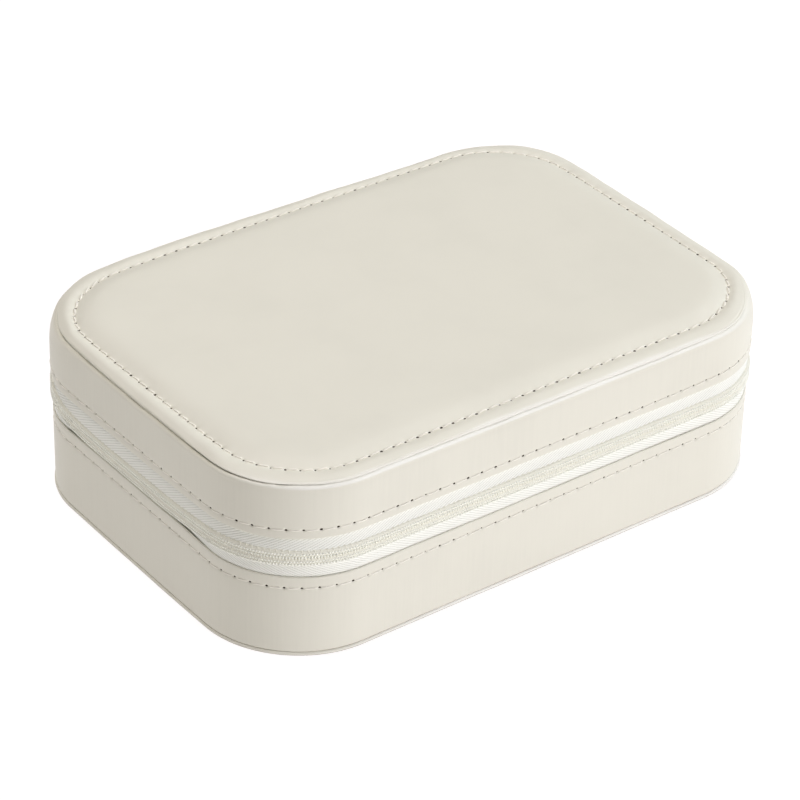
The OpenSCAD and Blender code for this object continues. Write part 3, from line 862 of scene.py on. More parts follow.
def tape(name, prof, sign, body, node):
    """Half of the woven tape, with twill ribs that lean one way on each half."""
    prof = smooth_profile(prof, 0.12)
    s = np.arange(ZIP0, ZIP1, 0.33)
    inset = np.repeat(prof[None, :, 0], len(s), 0)
    Z = np.repeat(prof[None, :, 1], len(s), 0)
    along = np.repeat(s[:, None], len(prof), 1)
    dip, edge = CHAIN_DIP(s)[:, None], (LID_LOW if sign > 0 else BASE_EDGE)(s)[:, None]
    t = np.clip((Z - CHAIN - 2.1) / (LID_EDGE + 0.1 - CHAIN - 2.1) if sign > 0 else (CHAIN - 2.4 - Z) / (CHAIN - 2.4 - BASE_TOP - 0.4),
                0, 1)
    Z = Z + dip * (1 - t) + edge * t
    height = Z - dip
    lean = math.radians(LEAN) * sign
    rib = np.abs(np.sin(math.pi * (height * math.cos(lean) - s[:, None] * math.sin(lean)) / RIB)) ** 0.6
    inset = inset - 0.11 * (rib - 0.6)
    Z = Z + waves(s, 71 + sign, [(9, 0.03), (21, 0.02)])[:, None]
    inset = inset + waves(s, 75 + sign, [(6, 0.05), (13, 0.03)])[:, None]
    if sign < 0:
        inset = inset + 0.4 * LEFT_GAP(s)[:, None] * np.clip((BASE_TOP + 2.2 - Z) / 0.8, 0, 1)
    bi = inset[:, [-1, 0]] + 0.45
    bz = Z[:, [-1, 0]]
    inset, Z = np.concatenate([inset, bi], 1), np.concatenate([Z, bz], 1)
    along, height = np.concatenate([along, along[:, :2]], 1), np.concatenate([height, height[:, [-1, 0]]], 1)
    ob = swept(name, s, inset, Z, TAPE_UP if sign > 0 else TAPE_DOWN, closed_s=False, caps=True)
    for key, val in (("along", along), ("height", height)):
        a = ob.data.attributes.new(key, "FLOAT", "POINT")
        a.data.foreach_set("value", (val.ravel() * MM).astype(np.float32))
    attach(ob, body)
    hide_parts(node)
    return ob


tape("upper_tape_weave", [(0.8, CHAIN + 0.08), (0.7, CHAIN + 0.8), (0.48, CHAIN + 1.4), (0.4, CHAIN + 1.9), (0.44, CHAIN + 2.3),
                          (0.54, CHAIN + 2.9), (0.66, CHAIN + 4.0), (0.82, LID_EDGE + 0.1), (1.2, LID_EDGE + 1.0)], 1, "lid",
     "upper_zip_tape")
tape("lower_tape_weave", [(1.3, BASE_TOP - 1.2), (1.02, BASE_TOP - 0.6), (0.84, BASE_TOP - 0.15), (0.68, BASE_TOP + 0.3),
                          (0.56, BASE_TOP + 1.1), (0.5, CHAIN - 2.9), (0.44, CHAIN - 2.3), (0.4, CHAIN - 1.9), (0.48, CHAIN - 1.4),
                          (0.7, CHAIN - 0.8), (0.8, CHAIN - 0.08)], -1, "base", "lower_zip_tape")

PITCH = 1.5


def coil(name, sg, body, node):
    """A nylon coil: a flattened helix whose heads reach past the middle, between the heads of the other half."""
    n = int((ZIP1 - ZIP0 - 3) / PITCH)
    s0 = ZIP0 + 1.5 + (0 if sg > 0 else PITCH / 2)
    head, turn = CHAIN - sg * 0.25, CHAIN + sg * 2.0
    loop = [(-0.30, 0.00, 0.50), (-0.17, 0.06, 0.36), (-0.10, 0.25, 0.31), (-0.06, 0.55, 0.30), (-0.03, 0.84, 0.30),
            (0.00, 0.97, 0.38), (0.00, 1.00, 0.58), (0.00, 0.97, 0.78), (0.04, 0.80, 0.84), (0.12, 0.45, 0.84),
            (0.30, 0.12, 0.84), (0.52, 0.00, 0.78), (0.72, -0.02, 0.66)]
    rr = [0.29, 0.31, 0.31, 0.31, 0.34, 0.38, 0.40, 0.38, 0.33, 0.30, 0.28, 0.28, 0.28]
    pts = np.array([(s0 + k * PITCH + ds * PITCH * 0.55, turn + (head - turn) * f, i) for k in range(n) for ds, f, i in loop])
    p, nn, _ = OUT.at(pts[:, 0])
    ob = tubes(name, [np.column_stack([p - pts[:, 2:3] * nn, pts[:, 1] + CHAIN_DIP(pts[:, 0])])], [np.array(rr * n)], 8, COIL)
    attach(ob, body)
    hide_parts(node)
    # the cord inside the coil
    s = np.arange(s0 - 1, s0 + n * PITCH, 0.75)
    a = np.linspace(0, 2 * math.pi, 14, endpoint=False)
    ripple = 1 + 0.04 * np.sin(2 * math.pi * s / PITCH * 2)[:, None]
    flat = np.sign(np.cos(a)) * np.abs(np.cos(a)) ** 0.6
    cord = swept(name + "_filler_cord", s, 0.58 - 0.56 * flat[None] * ripple,
                 CHAIN + CHAIN_DIP(s)[:, None] + sg * 1.06 + sg * 0.98 * np.sin(a)[None] * ripple, COILCORE, closed_s=False,
                 caps=True)
    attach(cord, body)
    # two rows of sewing, one loop over each leg of the coil
    t = np.linspace(0, 1, 5)
    rows = ((0.32, 0.24, -0.1), (1.1, 0.26, 0.1)) if sg > 0 else ((1.68, 0.28, 0.1), (0.95, 0.2, -0.05))
    for row, (off, rad, tilt) in enumerate(rows):
        paths, radii = [], []
        for k in range(2 * n):
            ss = s0 + (k / 2 + row / 4) * PITCH - 0.1 + 0.58 * (t - 0.5)
            p, nn, _ = OUT.at(ss)
            i = 0.32 - 0.32 * np.sin(np.pi * t)
            paths.append(np.column_stack([p - i[:, None] * nn, CHAIN + CHAIN_DIP(ss) + sg * (off + tilt * (2 * t - 1))]))
            radii.append(rad * (0.4 + 0.75 * np.sin(np.pi * t)))
        tb = tubes(f"{name}_sewing_{row + 1}", paths, radii, 6, COILTHREAD)
        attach(tb, body)
    return ob


coil("upper_coil", 1, "lid", "upper_zip_coil")
coil("lower_coil", -1, "base", "lower_zip_coil")


# ------------------------------------------------------------------ soft strips across the hinge
def hinge_sheet(name, half_x, prof, thick, mat, node, seed, sink):
    """A sheet from the base to the lid. prof is (y, z) in mm, from the bottom up; thick goes towards the inside."""
    prof = smooth_profile(prof, 0.5)
    x = np.linspace(-half_x, half_x, 141)
    X = np.repeat(x[:, None], len(prof), 1)
    Y = np.repeat(prof[None, :, 0], len(x), 0)
    Z = np.repeat(prof[None, :, 1], len(x), 0)
    mid = np.exp(-(((Z - HINGE.z / MM) / 4.0) ** 2))
    rng = random.Random(seed)
    ph = [rng.random() * 6.28 for _ in range(4)]
    Y = Y + mid * (0.09 * np.sin(X / 9 + ph[0]) + 0.06 * np.sin(X / 4.3 + Z / 3 + ph[1]) + 0.05 * np.sin(X / 17 + ph[2]))
    end = np.clip((half_x - np.abs(X)) / 1.2, 0, 1)
    Y = Y - sink * (1 - np.sqrt(np.maximum(0, 1 - (1 - end) ** 2)))
    front = np.stack([X, Y, Z], -1)
    rear = np.stack([X, Y - thick, Z], -1)
    n1, n2 = X.shape
    ring = np.concatenate([front, rear[:, ::-1]], 1)
    faces = grid_faces(n1, 2 * n2, False, True)
    for col, flip in ((0, False), (n1 - 1, True)):
        for j in range(n2 - 1):
            b = col * 2 * n2
            f = [b + j, b + j + 1, b + 2 * n2 - 2 - j, b + 2 * n2 - 1 - j]
            faces.append(f[::-1] if flip else f)
    bm_ob = close_mesh(name, ring.reshape(-1, 3), faces, mat)
    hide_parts(node)
    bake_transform(bm_ob)
    return bm_ob


Y0 = WID / 2
strip = hinge_sheet("hinge_leather", STRIP_X + 0.5, [
    (Y0 - 1.18, BASE_TOP - 5.8), (Y0 - 1.16, BASE_TOP - 0.3), (Y0 - 0.95, BASE_TOP + 0.7), (Y0 - 0.62, BASE_TOP + 2.2),
    (Y0 - 0.5, HINGE.z / MM), (Y0 - 0.62, LID_EDGE - 2.2), (Y0 - 0.95, LID_EDGE - 0.7), (Y0 - 1.16, LID_EDGE + 0.3),
    (Y0 - 1.18, LID_EDGE + 5.8)], 0.5, LEATHER, "hinge_strip", 3, 0.3)
YL = WID / 2 - 3.6
lining = hinge_sheet("hinge_suede", STRIP_X, [
    (YL, BASE_TOP + 0.12), (YL + 0.02, BASE_TOP + 1.2), (YL + 0.12, HINGE.z / MM), (YL + 0.02, LID_EDGE - 1.2),
    (YL, LID_EDGE - 0.14)], 0.5, SUEDE, "hinge_lining", 4, 0.15)


# ------------------------------------------------------------------ linings
def wall_lining(name, prof, body, node, seed):
    prof = smooth_profile(prof, 0.9)
    s = np.linspace(0, OUT.length, int(OUT.length / 1.4), endpoint=False)
    inset = np.repeat(prof[None, :, 0], len(s), 0)
    Z = np.repeat(prof[None, :, 1], len(s), 0)
    face = (inset > 4.2)
    lo, hi = prof[:, 1].min(), prof[:, 1].max()
    mid = np.sin(np.pi * np.clip((Z - lo) / (hi - lo), 0, 1))
    inset = inset + face * mid * (0.08 + waves(s, seed, [(7, 0.05), (15, 0.04), (26, 0.03)])[:, None])
    ob = swept(name, s, inset, Z, SUEDE)
    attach(ob, body)
    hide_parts(node)
    return ob


IN = 4.4
wall_lining("base_wall_suede", [
    (IN, 2.95), (IN, 8), (IN, 15), (IN, BASE_TOP - 0.7), (IN - 0.1, BASE_TOP - 0.2), (IN - 0.45, BASE_TOP + 0.05),
    (IN - 1.2, BASE_TOP + 0.09), (2.2, BASE_TOP + 0.08), (1.75, BASE_TOP + 0.0), (1.62, BASE_TOP - 0.3), (1.9, BASE_TOP - 0.38),
    (3.5, BASE_TOP - 0.4), (3.62, BASE_TOP - 0.6), (3.62, 10), (3.62, 2.95)], "base", "base_wall_lining", 81)
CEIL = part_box("lid_panel_lining")[0].z / MM
wall_lining("lid_wall_suede", [
    (3.62, CEIL), (3.62, LID_EDGE + 6), (3.62, LID_EDGE + 0.6), (3.5, LID_EDGE + 0.4), (1.9, LID_EDGE + 0.38),
    (1.62, LID_EDGE + 0.3), (1.75, LID_EDGE), (2.2, LID_EDGE - 0.08), (IN - 1.2, LID_EDGE - 0.09), (IN - 0.45, LID_EDGE - 0.05),
    (IN - 0.1, LID_EDGE + 0.2), (IN, LID_EDGE + 0.7), (IN, LID_EDGE + 6), (IN, CEIL)], "lid", "lid_wall_lining", 83)


def suede_panel(name, inset0, z_back, z_face, body, node, sign, lift):
    """A padded panel: rounded edges and a face that swells a little. sign is the way the face looks, up or down."""
    e = 0.55
    prof = [(inset0 + 0.05, z_back), (inset0, z_back + sign * 0.2), (inset0, z_face - sign * (e + 0.05)),
            (inset0 + 0.16, z_face - sign * 0.2), (inset0 + e, z_face - sign * 0.04)]
    prof = smooth_profile(prof, 0.2)
    ins = np.array([1.0, 1.8, 3, 4.5, 6.5, 9, 12, 16, RAD - inset0 - 0.01]) + inset0
    s = np.linspace(0, OUT.length, 380, endpoint=False)
    face_z = z_face - sign * 0.02 + sign * lift * (1 - np.exp(-((ins - inset0) / 5) ** 1.5))
    inset = np.concatenate([prof[:, 0], ins, RAD + np.array([4, 8, 12, 16, 20, 25])])
    z = np.concatenate([prof[:, 1], face_z, np.full(6, face_z[-1])])
    I2 = np.repeat(inset[None], len(s), 0)
    Z = np.repeat(z[None], len(s), 0)
    ss = np.repeat(s[:, None], len(inset), 1)
    xy = top_xy(ss.ravel(), I2.ravel()).reshape(*I2.shape, 2)
    v = np.concatenate([xy, Z[..., None]], -1)
    ob = close_mesh(name, v.reshape(-1, 3), grid_faces(len(s), len(inset), True, False), SUEDE)
    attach(ob, body)
    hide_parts(node)
    return ob


_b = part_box("base_floor_pad")
suede_panel("floor_pad_suede", IN + 0.05, _b[0].z / MM, _b[1].z / MM, "base", "base_floor_pad", 1, 0.03)
_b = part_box("lid_panel_lining")
suede_panel("ceiling_pad_suede", 3.7, _b[1].z / MM, _b[0].z / MM, "lid", "lid_panel_lining", -1, 0.03)


# ------------------------------------------------------------------ partitions, dividers, rolls
def wrapped_board(name, node, body, mat, long_axis, r=0.8, bulge=0.12, seed=1):
    """A board wrapped in suede: soft upper edge, slightly swollen faces, rounded ends."""
    lo, hi = (np.array(v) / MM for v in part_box(node))
    a = 0 if long_axis == "x" else 1
    c = 1 - a
    half = (hi[c] - lo[c]) / 2
    mid = (hi[c] + lo[c]) / 2
    z0, z1 = lo[2], hi[2]
    r = min(r, half * 0.98)
    prof = [(-half, z0)]
    prof += [(-half, z) for z in np.linspace(z0 + 0.4, z1 - r, 9)]
    prof += [(-(half - r) - r * math.cos(t), z1 - r + r * math.sin(t)) for t in np.linspace(0.3, math.pi / 2, 5)]
    if half - r > 0.3:
        prof += [(x, z1) for x in np.linspace(-(half - r), half - r, max(2, int((half - r) / 2)))[1:-1]]
    prof += [(-x, z) for x, z in reversed(prof) if x < -1e-6]
    prof = np.array(prof)
    L0, L1 = lo[a], hi[a]
    u = np.concatenate([[L0, L0 + 0.12, L0 + 0.4, L0 + 0.8], np.linspace(L0 + 2, L1 - 2, int((L1 - L0) / 1.8)),
                        [L1 - 0.8, L1 - 0.4, L1 - 0.12, L1]])
    endr = np.minimum(np.minimum(u - L0, L1 - u) / 0.9, 1)
    squeeze = 1 - 0.32 * (1 - np.sqrt(np.maximum(0, 1 - (1 - endr) ** 2)))
    rng = random.Random(seed)
    ph = [rng.random() * 6.28 for _ in range(3)]
    V = []
    for uu, sq in zip(u, squeeze):
        zf = (prof[:, 1] - z0) / (z1 - z0)
        w = prof[:, 0] * (1 if half > 3 else sq)
        w = w - np.sign(prof[:, 0]) * bulge * 0.5 + np.sign(prof[:, 0]) * bulge * np.sin(np.pi * np.clip(zf, 0, 1)) * (
            0.5 + 0.12 * math.sin(uu / 9 + ph[0]) + 0.1 * math.sin(uu / 4 + ph[1]))
        z = z0 + (prof[:, 1] - z0) * (1 - 0.012 * (1 - sq)) - zf ** 8 * (0.1 + 0.06 * math.sin(uu / 11 + ph[2]))
        row = np.zeros((len(prof), 3))
        row[:, a], row[:, c], row[:, 2] = uu, mid + w, z
        V.append(row)
    V = np.array(V)
    faces = grid_faces(len(u), len(prof), False, True)
    ob = close_mesh(name, V.reshape(-1, 3), faces, mat)
    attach(ob, body)
    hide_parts(node)
    return ob


wrapped_board("left_partition_suede", "left_partition", "base", SUEDE, "y", seed=2)
wrapped_board("right_partition_suede", "right_partition", "base", SUEDE, "y", seed=3)
wrapped_board("left_divider_suede", "left_divider", "left_divider", SUEDE, "x", seed=4)
wrapped_board("right_divider_suede", "right_divider", "right_divider", SUEDE, "x", seed=5)
wrapped_board("roll_block_suede", "ring_roll_base", "base", SUEDE, "y", r=0.6, bulge=0.1, seed=6)


def ring_roll(k):
    node = f"ring_roll_{k}"
    lo, hi = (np.array(v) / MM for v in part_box(node))
    cx, cz, r = (lo[0] + hi[0]) / 2, (lo[2] + hi[2]) / 2, (hi[0] - lo[0]) / 2
    rng = random.Random(40 + k)
    ph = [rng.random() * 6.28 for _ in range(6)]
    e = 2.2
    ends = np.array([0, 0.05, 0.2, 0.5, 0.95, 1.5, 2.2])
    y = np.concatenate([lo[1] + ends, np.linspace(lo[1] + 3.5, hi[1] - 3.5, 48), (hi[1] - ends)[::-1]])
    d = np.minimum(y - lo[1], hi[1] - y)
    rad = np.where(d < e, r - 1.5 + 1.5 * np.sqrt(np.maximum(0, 1 - (1 - np.minimum(d / e, 1)) ** 2)), r)
    ang = np.linspace(0, 2 * math.pi, 72, endpoint=False)
    A, Y = np.meshgrid(ang, y)
    R = rad[:, None] - 0.06 + 0.035 * np.sin(Y / 8 + ph[0] + 2 * A) + 0.025 * np.sin(Y / 3.1 + ph[1] + 3 * A)
    pucker = np.exp(-((np.minimum(Y - lo[1], hi[1] - Y) / 1.6) ** 2))
    R = R - 0.16 * pucker * (0.5 + 0.5 * np.cos(18 * A + ph[2]))
    seam = np.exp(-((((A - 4.2 + math.pi) % (2 * math.pi) - math.pi) / 0.06) ** 2))
    R = R - 0.22 * seam
    v = np.stack([cx + R * np.cos(A), Y, cz + R * np.sin(A)], -1)
    n1, n2 = A.shape
    verts = v.reshape(-1, 3)
    faces = grid_faces(n1, n2, False, True)
    # gathered end discs
    extra = []
    for side, row in ((0, 0), (1, n1 - 1)):
        yy = y[row]
        sg = -1 if side == 0 else 1
        prev = row * n2
        for f, dy in ((0.82, 0.0), (0.6, -0.06), (0.38, -0.18), (0.16, -0.42)):
            base = len(verts) + len(extra)
            rr = rad[row] * f * (1 - 0.02 * np.cos(18 * ang + ph[2]))
            dd = dy - 0.08 * (0.5 + 0.5 * np.cos(18 * ang + ph[2])) * (f > 0.2)
            extra += [(cx + a1 * math.cos(t), yy + sg * d1, cz + a1 * math.sin(t)) for a1, d1, t in zip(rr, dd, ang)]
            for j in range(n2):
                j2 = (j + 1) % n2
                q = [prev + j, prev + j2, base + j2, base + j]
                faces.append(q if side else q[::-1])
            prev = base
        extra.append((cx, yy + sg * -0.5, cz))
        c = len(verts) + len(extra) - 1
        for j in range(n2):
            q = [prev + j, prev + (j + 1) % n2, c]
            faces.append(q if side else q[::-1])
    ob = close_mesh(f"ring_roll_velvet_{k}", np.concatenate([verts, np.array(extra)]), faces, VELVET)
    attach(ob, "base")
    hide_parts(node)


for _k in range(1, 5):
    ring_roll(_k)


# ------------------------------------------------------------------ inside the lid
def build_pocket():
    lo, hi = (np.array(v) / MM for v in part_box("lid_pocket"))
    nx, ny = 420, 40
    x = np.linspace(lo[0] + 0.25, hi[0] - 0.25, nx)
    y = np.linspace(lo[1] - 0.6, hi[1] - 0.25, ny)
    X, Y = np.meshgrid(x, y, indexing="ij")
    # keep within the rounded corners at the back
    ins = WID / 2 - hi[1] + 0.25
    r = RAD - ins
    cx, cy = LEN / 2 - RAD, WID / 2 - RAD
    lim = np.where(Y > cy, cx + np.sqrt(np.maximum(0, r * r - (Y - cy) ** 2)), hi[0] - 0.25)
    X = X * lim / (hi[0] - 0.25)
    v = (Y - y[0]) / (y[-1] - y[0])
    rng = random.Random(9)
    ph = [rng.random() * 6.28 for _ in range(6)]
    gather = (1 - v) ** 1.3
    mid = (lo[2] + hi[2]) / 2
    U = np.repeat(x[:, None], ny, 1)
    fold = (0.40 * np.sin(2 * math.pi * U / 3.9 + 0.9 * np.sin(U / 11 + ph[0])) +
            0.16 * np.sin(2 * math.pi * U / 2.3 + ph[1] + 2 * v) + 0.12 * np.sin(U / 6.1 + ph[2]))
    edge = np.minimum(np.minimum((lim - np.abs(X)) / 1.5, (y[-1] - Y) / 1.5), 1)
    Z = mid - 0.08 + gather * fold * 0.85 + (1 - gather) * (0.22 * np.sin(U / 14 + ph[3]) * np.sin(v * 3) +
                                                       0.1 * np.sin(U / 5 + v * 5 + ph[4]))
    Z = hi[2] - 0.2 - (hi[2] - 0.2 - Z) * np.clip(edge, 0, 1) ** 0.7
    Z = np.clip(Z, lo[2] + 0.1, hi[2] - 0.12)
    V = np.stack([X, Y, Z], -1)
    ob = mesh("lid_pocket_cloth", V.reshape(-1, 3), [f[::-1] for f in grid_faces(nx, ny, False, False)], CLOTH)
    mod = ob.modifiers.new("thickness", "SOLIDIFY")
    mod.thickness = 0.00018
    mod.offset = 0
    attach(ob, "lid")
    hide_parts("lid_pocket")
    lo, hi = (np.array(v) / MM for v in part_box("pocket_elastic"))
    xs = np.linspace(lo[0], hi[0], 700)
    cy, cz = (lo[1] + hi[1]) / 2, (lo[2] + hi[2]) / 2
    path = np.column_stack([xs, cy + 0.07 * np.sin(xs / 5), cz + 0.05 * np.sin(xs / 7 + 1)])
    rad = 0.9 + 0.13 * np.sin(2 * math.pi * xs / 1.95 + 0.9 * np.sin(xs / 11 + ph[0])) + 0.05 * np.sin(2 * math.pi * xs / 1.1)
    el = tubes("pocket_elastic_cloth", [path], [rad], 14, CLOTH)
    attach(el, "lid")
    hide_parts("pocket_elastic")


build_pocket()


def rounded_outline(pts, n=6):
    return pts


def slab_from(name, outline, z0, z1, mat, bevel, axis="z", at=(0, 0, 0), segments=3):
    """An extruded outline (mm) with softened edges. axis is the direction of the thickness."""
    n = len(outline)
    V = []
    for h in (z0, z1):
        for a, b in outline:
            V.append({"z": (a, b, h), "x": (h, a, b), "y": (a, h, b)}[axis])
    V = np.array(V, float) + np.array(at, float)
    faces = [list(range(n))[::-1], list(range(n, 2 * n))] + [[j, (j + 1) % n, n + (j + 1) % n, n + j] for j in range(n)]
    me = bpy.data.meshes.new(name)
    me.from_pydata((V * MM).tolist(), [], faces)
    bm = bmesh.new()
    bm.from_mesh(me)
    bmesh.ops.recalc_face_normals(bm, faces=bm.faces)
    bm.to_mesh(me)
    bm.free()
    ob = link(name, me, mat)
    m = ob.modifiers.new("edges", "BEVEL")
    m.width = bevel * MM
    m.segments = segments
    m.limit_method = "ANGLE"
    m.angle_limit = math.radians(40)
    m.harden_normals = True
    return ob


def arc(cx, cy, r, a0, a1, n):
    return [(cx + r * math.cos(t), cy + r * math.sin(t)) for t in np.linspace(math.radians(a0), math.radians(a1), n)]


def rounded_rect(x0, x1, y0, y1, r, n=7):
    return (arc(x1 - r, y0 + r, r, -90, 0, n) + arc(x1 - r, y1 - r, r, 0, 90, n) + arc(x0 + r, y1 - r, r, 90, 180, n)
            + arc(x0 + r, y0 + r, r, 180, 270, n))


def stitched_path(name, pts, pitch, z, up, body, radius=0.16):
    """Threads along a polyline on a flat face that looks along up (+1 or -1 in z)."""
    pts = np.array(pts, float)
    d = np.concatenate([[0], np.cumsum(np.linalg.norm(np.diff(pts, axis=0), axis=1))])
    n = max(1, int(round(d[-1] / pitch)))
    paths, radii = [], []
    t = np.linspace(0, 1, 7)
    for k in range(n):
        u = (k + 0.13 + 0.74 * t) * d[-1] / n
        x, y = np.interp(u, d, pts[:, 0]), np.interp(u, d, pts[:, 1])
        h = up * (0.09 - 0.3 * (2 * t - 1) ** 6)
        paths.append(np.column_stack([x, y, z + h]))
        radii.append(radius * (1 - 0.3 * (2 * t - 1) ** 6))
    ob = tubes(name, paths, radii, 6, THREAD)
    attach(ob, body)
    return ob


_lo, _hi = (np.array(v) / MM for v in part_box("tab_backing_strip"))
st = slab_from("tab_strip_leather", rounded_rect(_lo[0], _hi[0], _lo[1], _hi[1], 3.0), _lo[2], _hi[2] - 0.02, TABLEATHER, 0.3)
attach(st, "lid")
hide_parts("tab_backing_strip")
_rr = rounded_rect(_lo[0] + 1.1, _hi[0] - 1.1, _lo[1] + 1.1, _hi[1] - 1.1, 2.0)
stitched_path("tab_strip_stitches", _rr + [_rr[0]], 2.8, _lo[2], -1, "lid", 0.13)

_lo, _hi = (np.array(v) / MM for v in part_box("necklace_tabs"))
_sl, _sh = (np.array(v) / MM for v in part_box("tab_snaps"))
TAB_N = 5
TAB_W = 9.0
_pitch = (_hi[0] - _lo[0] - TAB_W) / (TAB_N - 1)
_snapy = (_sl[1] + _sh[1]) / 2


def lathe(name, prof, centre, mat, n=40, down=True):
    """prof is (radius, height) in mm from the centre out; the axis is upright."""
    prof = np.array(prof, float)
    ang = np.linspace(0, 2 * math.pi, n, endpoint=False)
    V, F = [], []
    for r, h in prof:
        V += [(centre[0] + r * math.cos(t), centre[1] + r * math.sin(t), centre[2] + (-h if down else h)) for t in ang]
    for i in range(len(prof) - 1):
        for j in range(n):
            F.append([i * n + j, i * n + (j + 1) % n, (i + 1) * n + (j + 1) % n, (i + 1) * n + j])
    return close_mesh(name, np.array(V), F, mat)


def build_tabs():
    V, F = [], []
    snaps = []
    for k in range(TAB_N):
        cx = _lo[0] + TAB_W / 2 + k * _pitch
        y0, y1 = _lo[1], _hi[1]
        out = [(cx - TAB_W / 2, y0 + 0.6), (cx - TAB_W / 2 + 0.6, y0), (cx + TAB_W / 2 - 0.6, y0), (cx + TAB_W / 2, y0 + 0.6)]
        out += arc(cx, y1 - TAB_W / 2, TAB_W / 2, 0, 180, 21)
        ob = slab_from(f"necklace_tab_{k + 1}", out, _lo[2] + 0.05, _hi[2], TABLEATHER, 0.42)
        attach(ob, "lid")
        if k == 0:
            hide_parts("necklace_tabs")
        inner = [(cx - 3.5, y0 + 1.0)] + [(cx - 3.5, y) for y in (y0 + 6, y1 - 6)] + arc(cx, y1 - 4.5, 3.5, 180, 0, 15) + [
            (cx + 3.5, y0 + 6), (cx + 3.5, y0 + 1.0)]
        stitched_path(f"necklace_tab_{k + 1}_stitches", inner, 2.3, _lo[2] + 0.06, -1, "lid", 0.12)
        prof = [(0.01, 0.78), (0.8, 0.76), (1.5, 0.68), (2.0, 0.5), (2.15, 0.42), (2.4, 0.46), (2.7, 0.5), (3.0, 0.4), (3.15, 0.2),
                (3.2, 0.0), (3.0, -0.05), (0.01, -0.05)]
        sn = lathe(f"tab_snap_{k + 1}", prof, (cx, _snapy, _sh[2] + 0.02), GOLD)
        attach(sn, "lid")
        if k == 0:
            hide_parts("tab_snaps")


build_tabs()


# ------------------------------------------------------------------ slider and pull
def build_slider():
    lo, hi = (np.array(v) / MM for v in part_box("zip_slider"))
    yc = (lo[1] + hi[1]) / 2
    zc = CHAIN
    X0 = LEN / 2

    def plate(half, k):
        a = 5.45
        pts = [(-a, -half + 0.9), (-a + 1.1, -half), (a - 2.6, -half), (a - 0.7, -half + 0.9), (a, -half + 1.9), (a, half - 1.9),
               (a - 0.7, half - 0.9), (a - 2.6, half), (-a + 1.1, half), (-a, half - 0.9), (-a - 0.15 * k, 0)]
        return [(yc + p, zc + q) for p, q in pts]

    front = slab_from("slider_front_plate", plate(3.85, 1), X0 + 0.12, X0 + 1.08, GOLD, 0.38, axis="x", segments=4)
    back = slab_from("slider_back_plate", plate(3.45, 0), X0 - 2.6, X0 - 1.72, GOLD, 0.25, axis="x")
    bridge = slab_from("slider_bridge", [(yc + 1.7, zc - 0.48), (yc + 4.3, zc - 0.3), (yc + 4.5, zc), (yc + 4.3, zc + 0.3),
                                         (yc + 1.7, zc + 0.48)], X0 - 2.2, X0 + 0.6, GOLD, 0.1, axis="x")
    t = np.linspace(0, 1, 29)
    ang = np.pi * t
    path = np.column_stack([X0 + 0.9 + 1.85 * np.sin(ang) ** 0.8, yc - 3.3 * np.cos(ang), np.full(29, zc)])
    path = np.vstack([[X0 + 0.5, yc - 3.3, zc], path, [X0 + 0.5, yc + 3.3, zc]])
    verts, faces = [], []
    k = 10
    for i, p in enumerate(path):
        d = path[min(i + 1, len(path) - 1)] - path[max(i - 1, 0)]
        d /= np.linalg.norm(d)
        u = np.cross(d, [0, 0, 1.0])
        u /= np.linalg.norm(u) + 1e-9
        for a in np.linspace(0, 2 * math.pi, k, endpoint=False):
            c, s = math.cos(a), math.sin(a)
            verts.append(p + u * 0.36 * np.sign(c) * abs(c) ** 0.7 + np.array([0, 0, 0.78]) * np.sign(s) * abs(s) ** 0.7)
    faces = grid_faces(len(path), k, False, True) + [list(range(k))[::-1], [(len(path) - 1) * k + j for j in range(k)]]
    loop = mesh("slider_loop", np.array(verts), faces, GOLD)
    side = []
    for sg in (-1, 1):
        o = slab_from(f"slider_flange_{'lower' if sg < 0 else 'upper'}",
                      [(yc - 4.2, zc + sg * 3.2), (yc + 3.0, zc + sg * 3.2), (yc + 3.0, zc + sg * 3.75), (yc - 4.2, zc + sg * 3.75)],
                      X0 - 0.35, X0 + 0.5, GOLD, 0.15, axis="x")
        side.append(o)
    for o in (front, back, bridge, loop, *side):
        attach(o, "slider")
    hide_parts("zip_slider")


build_slider()


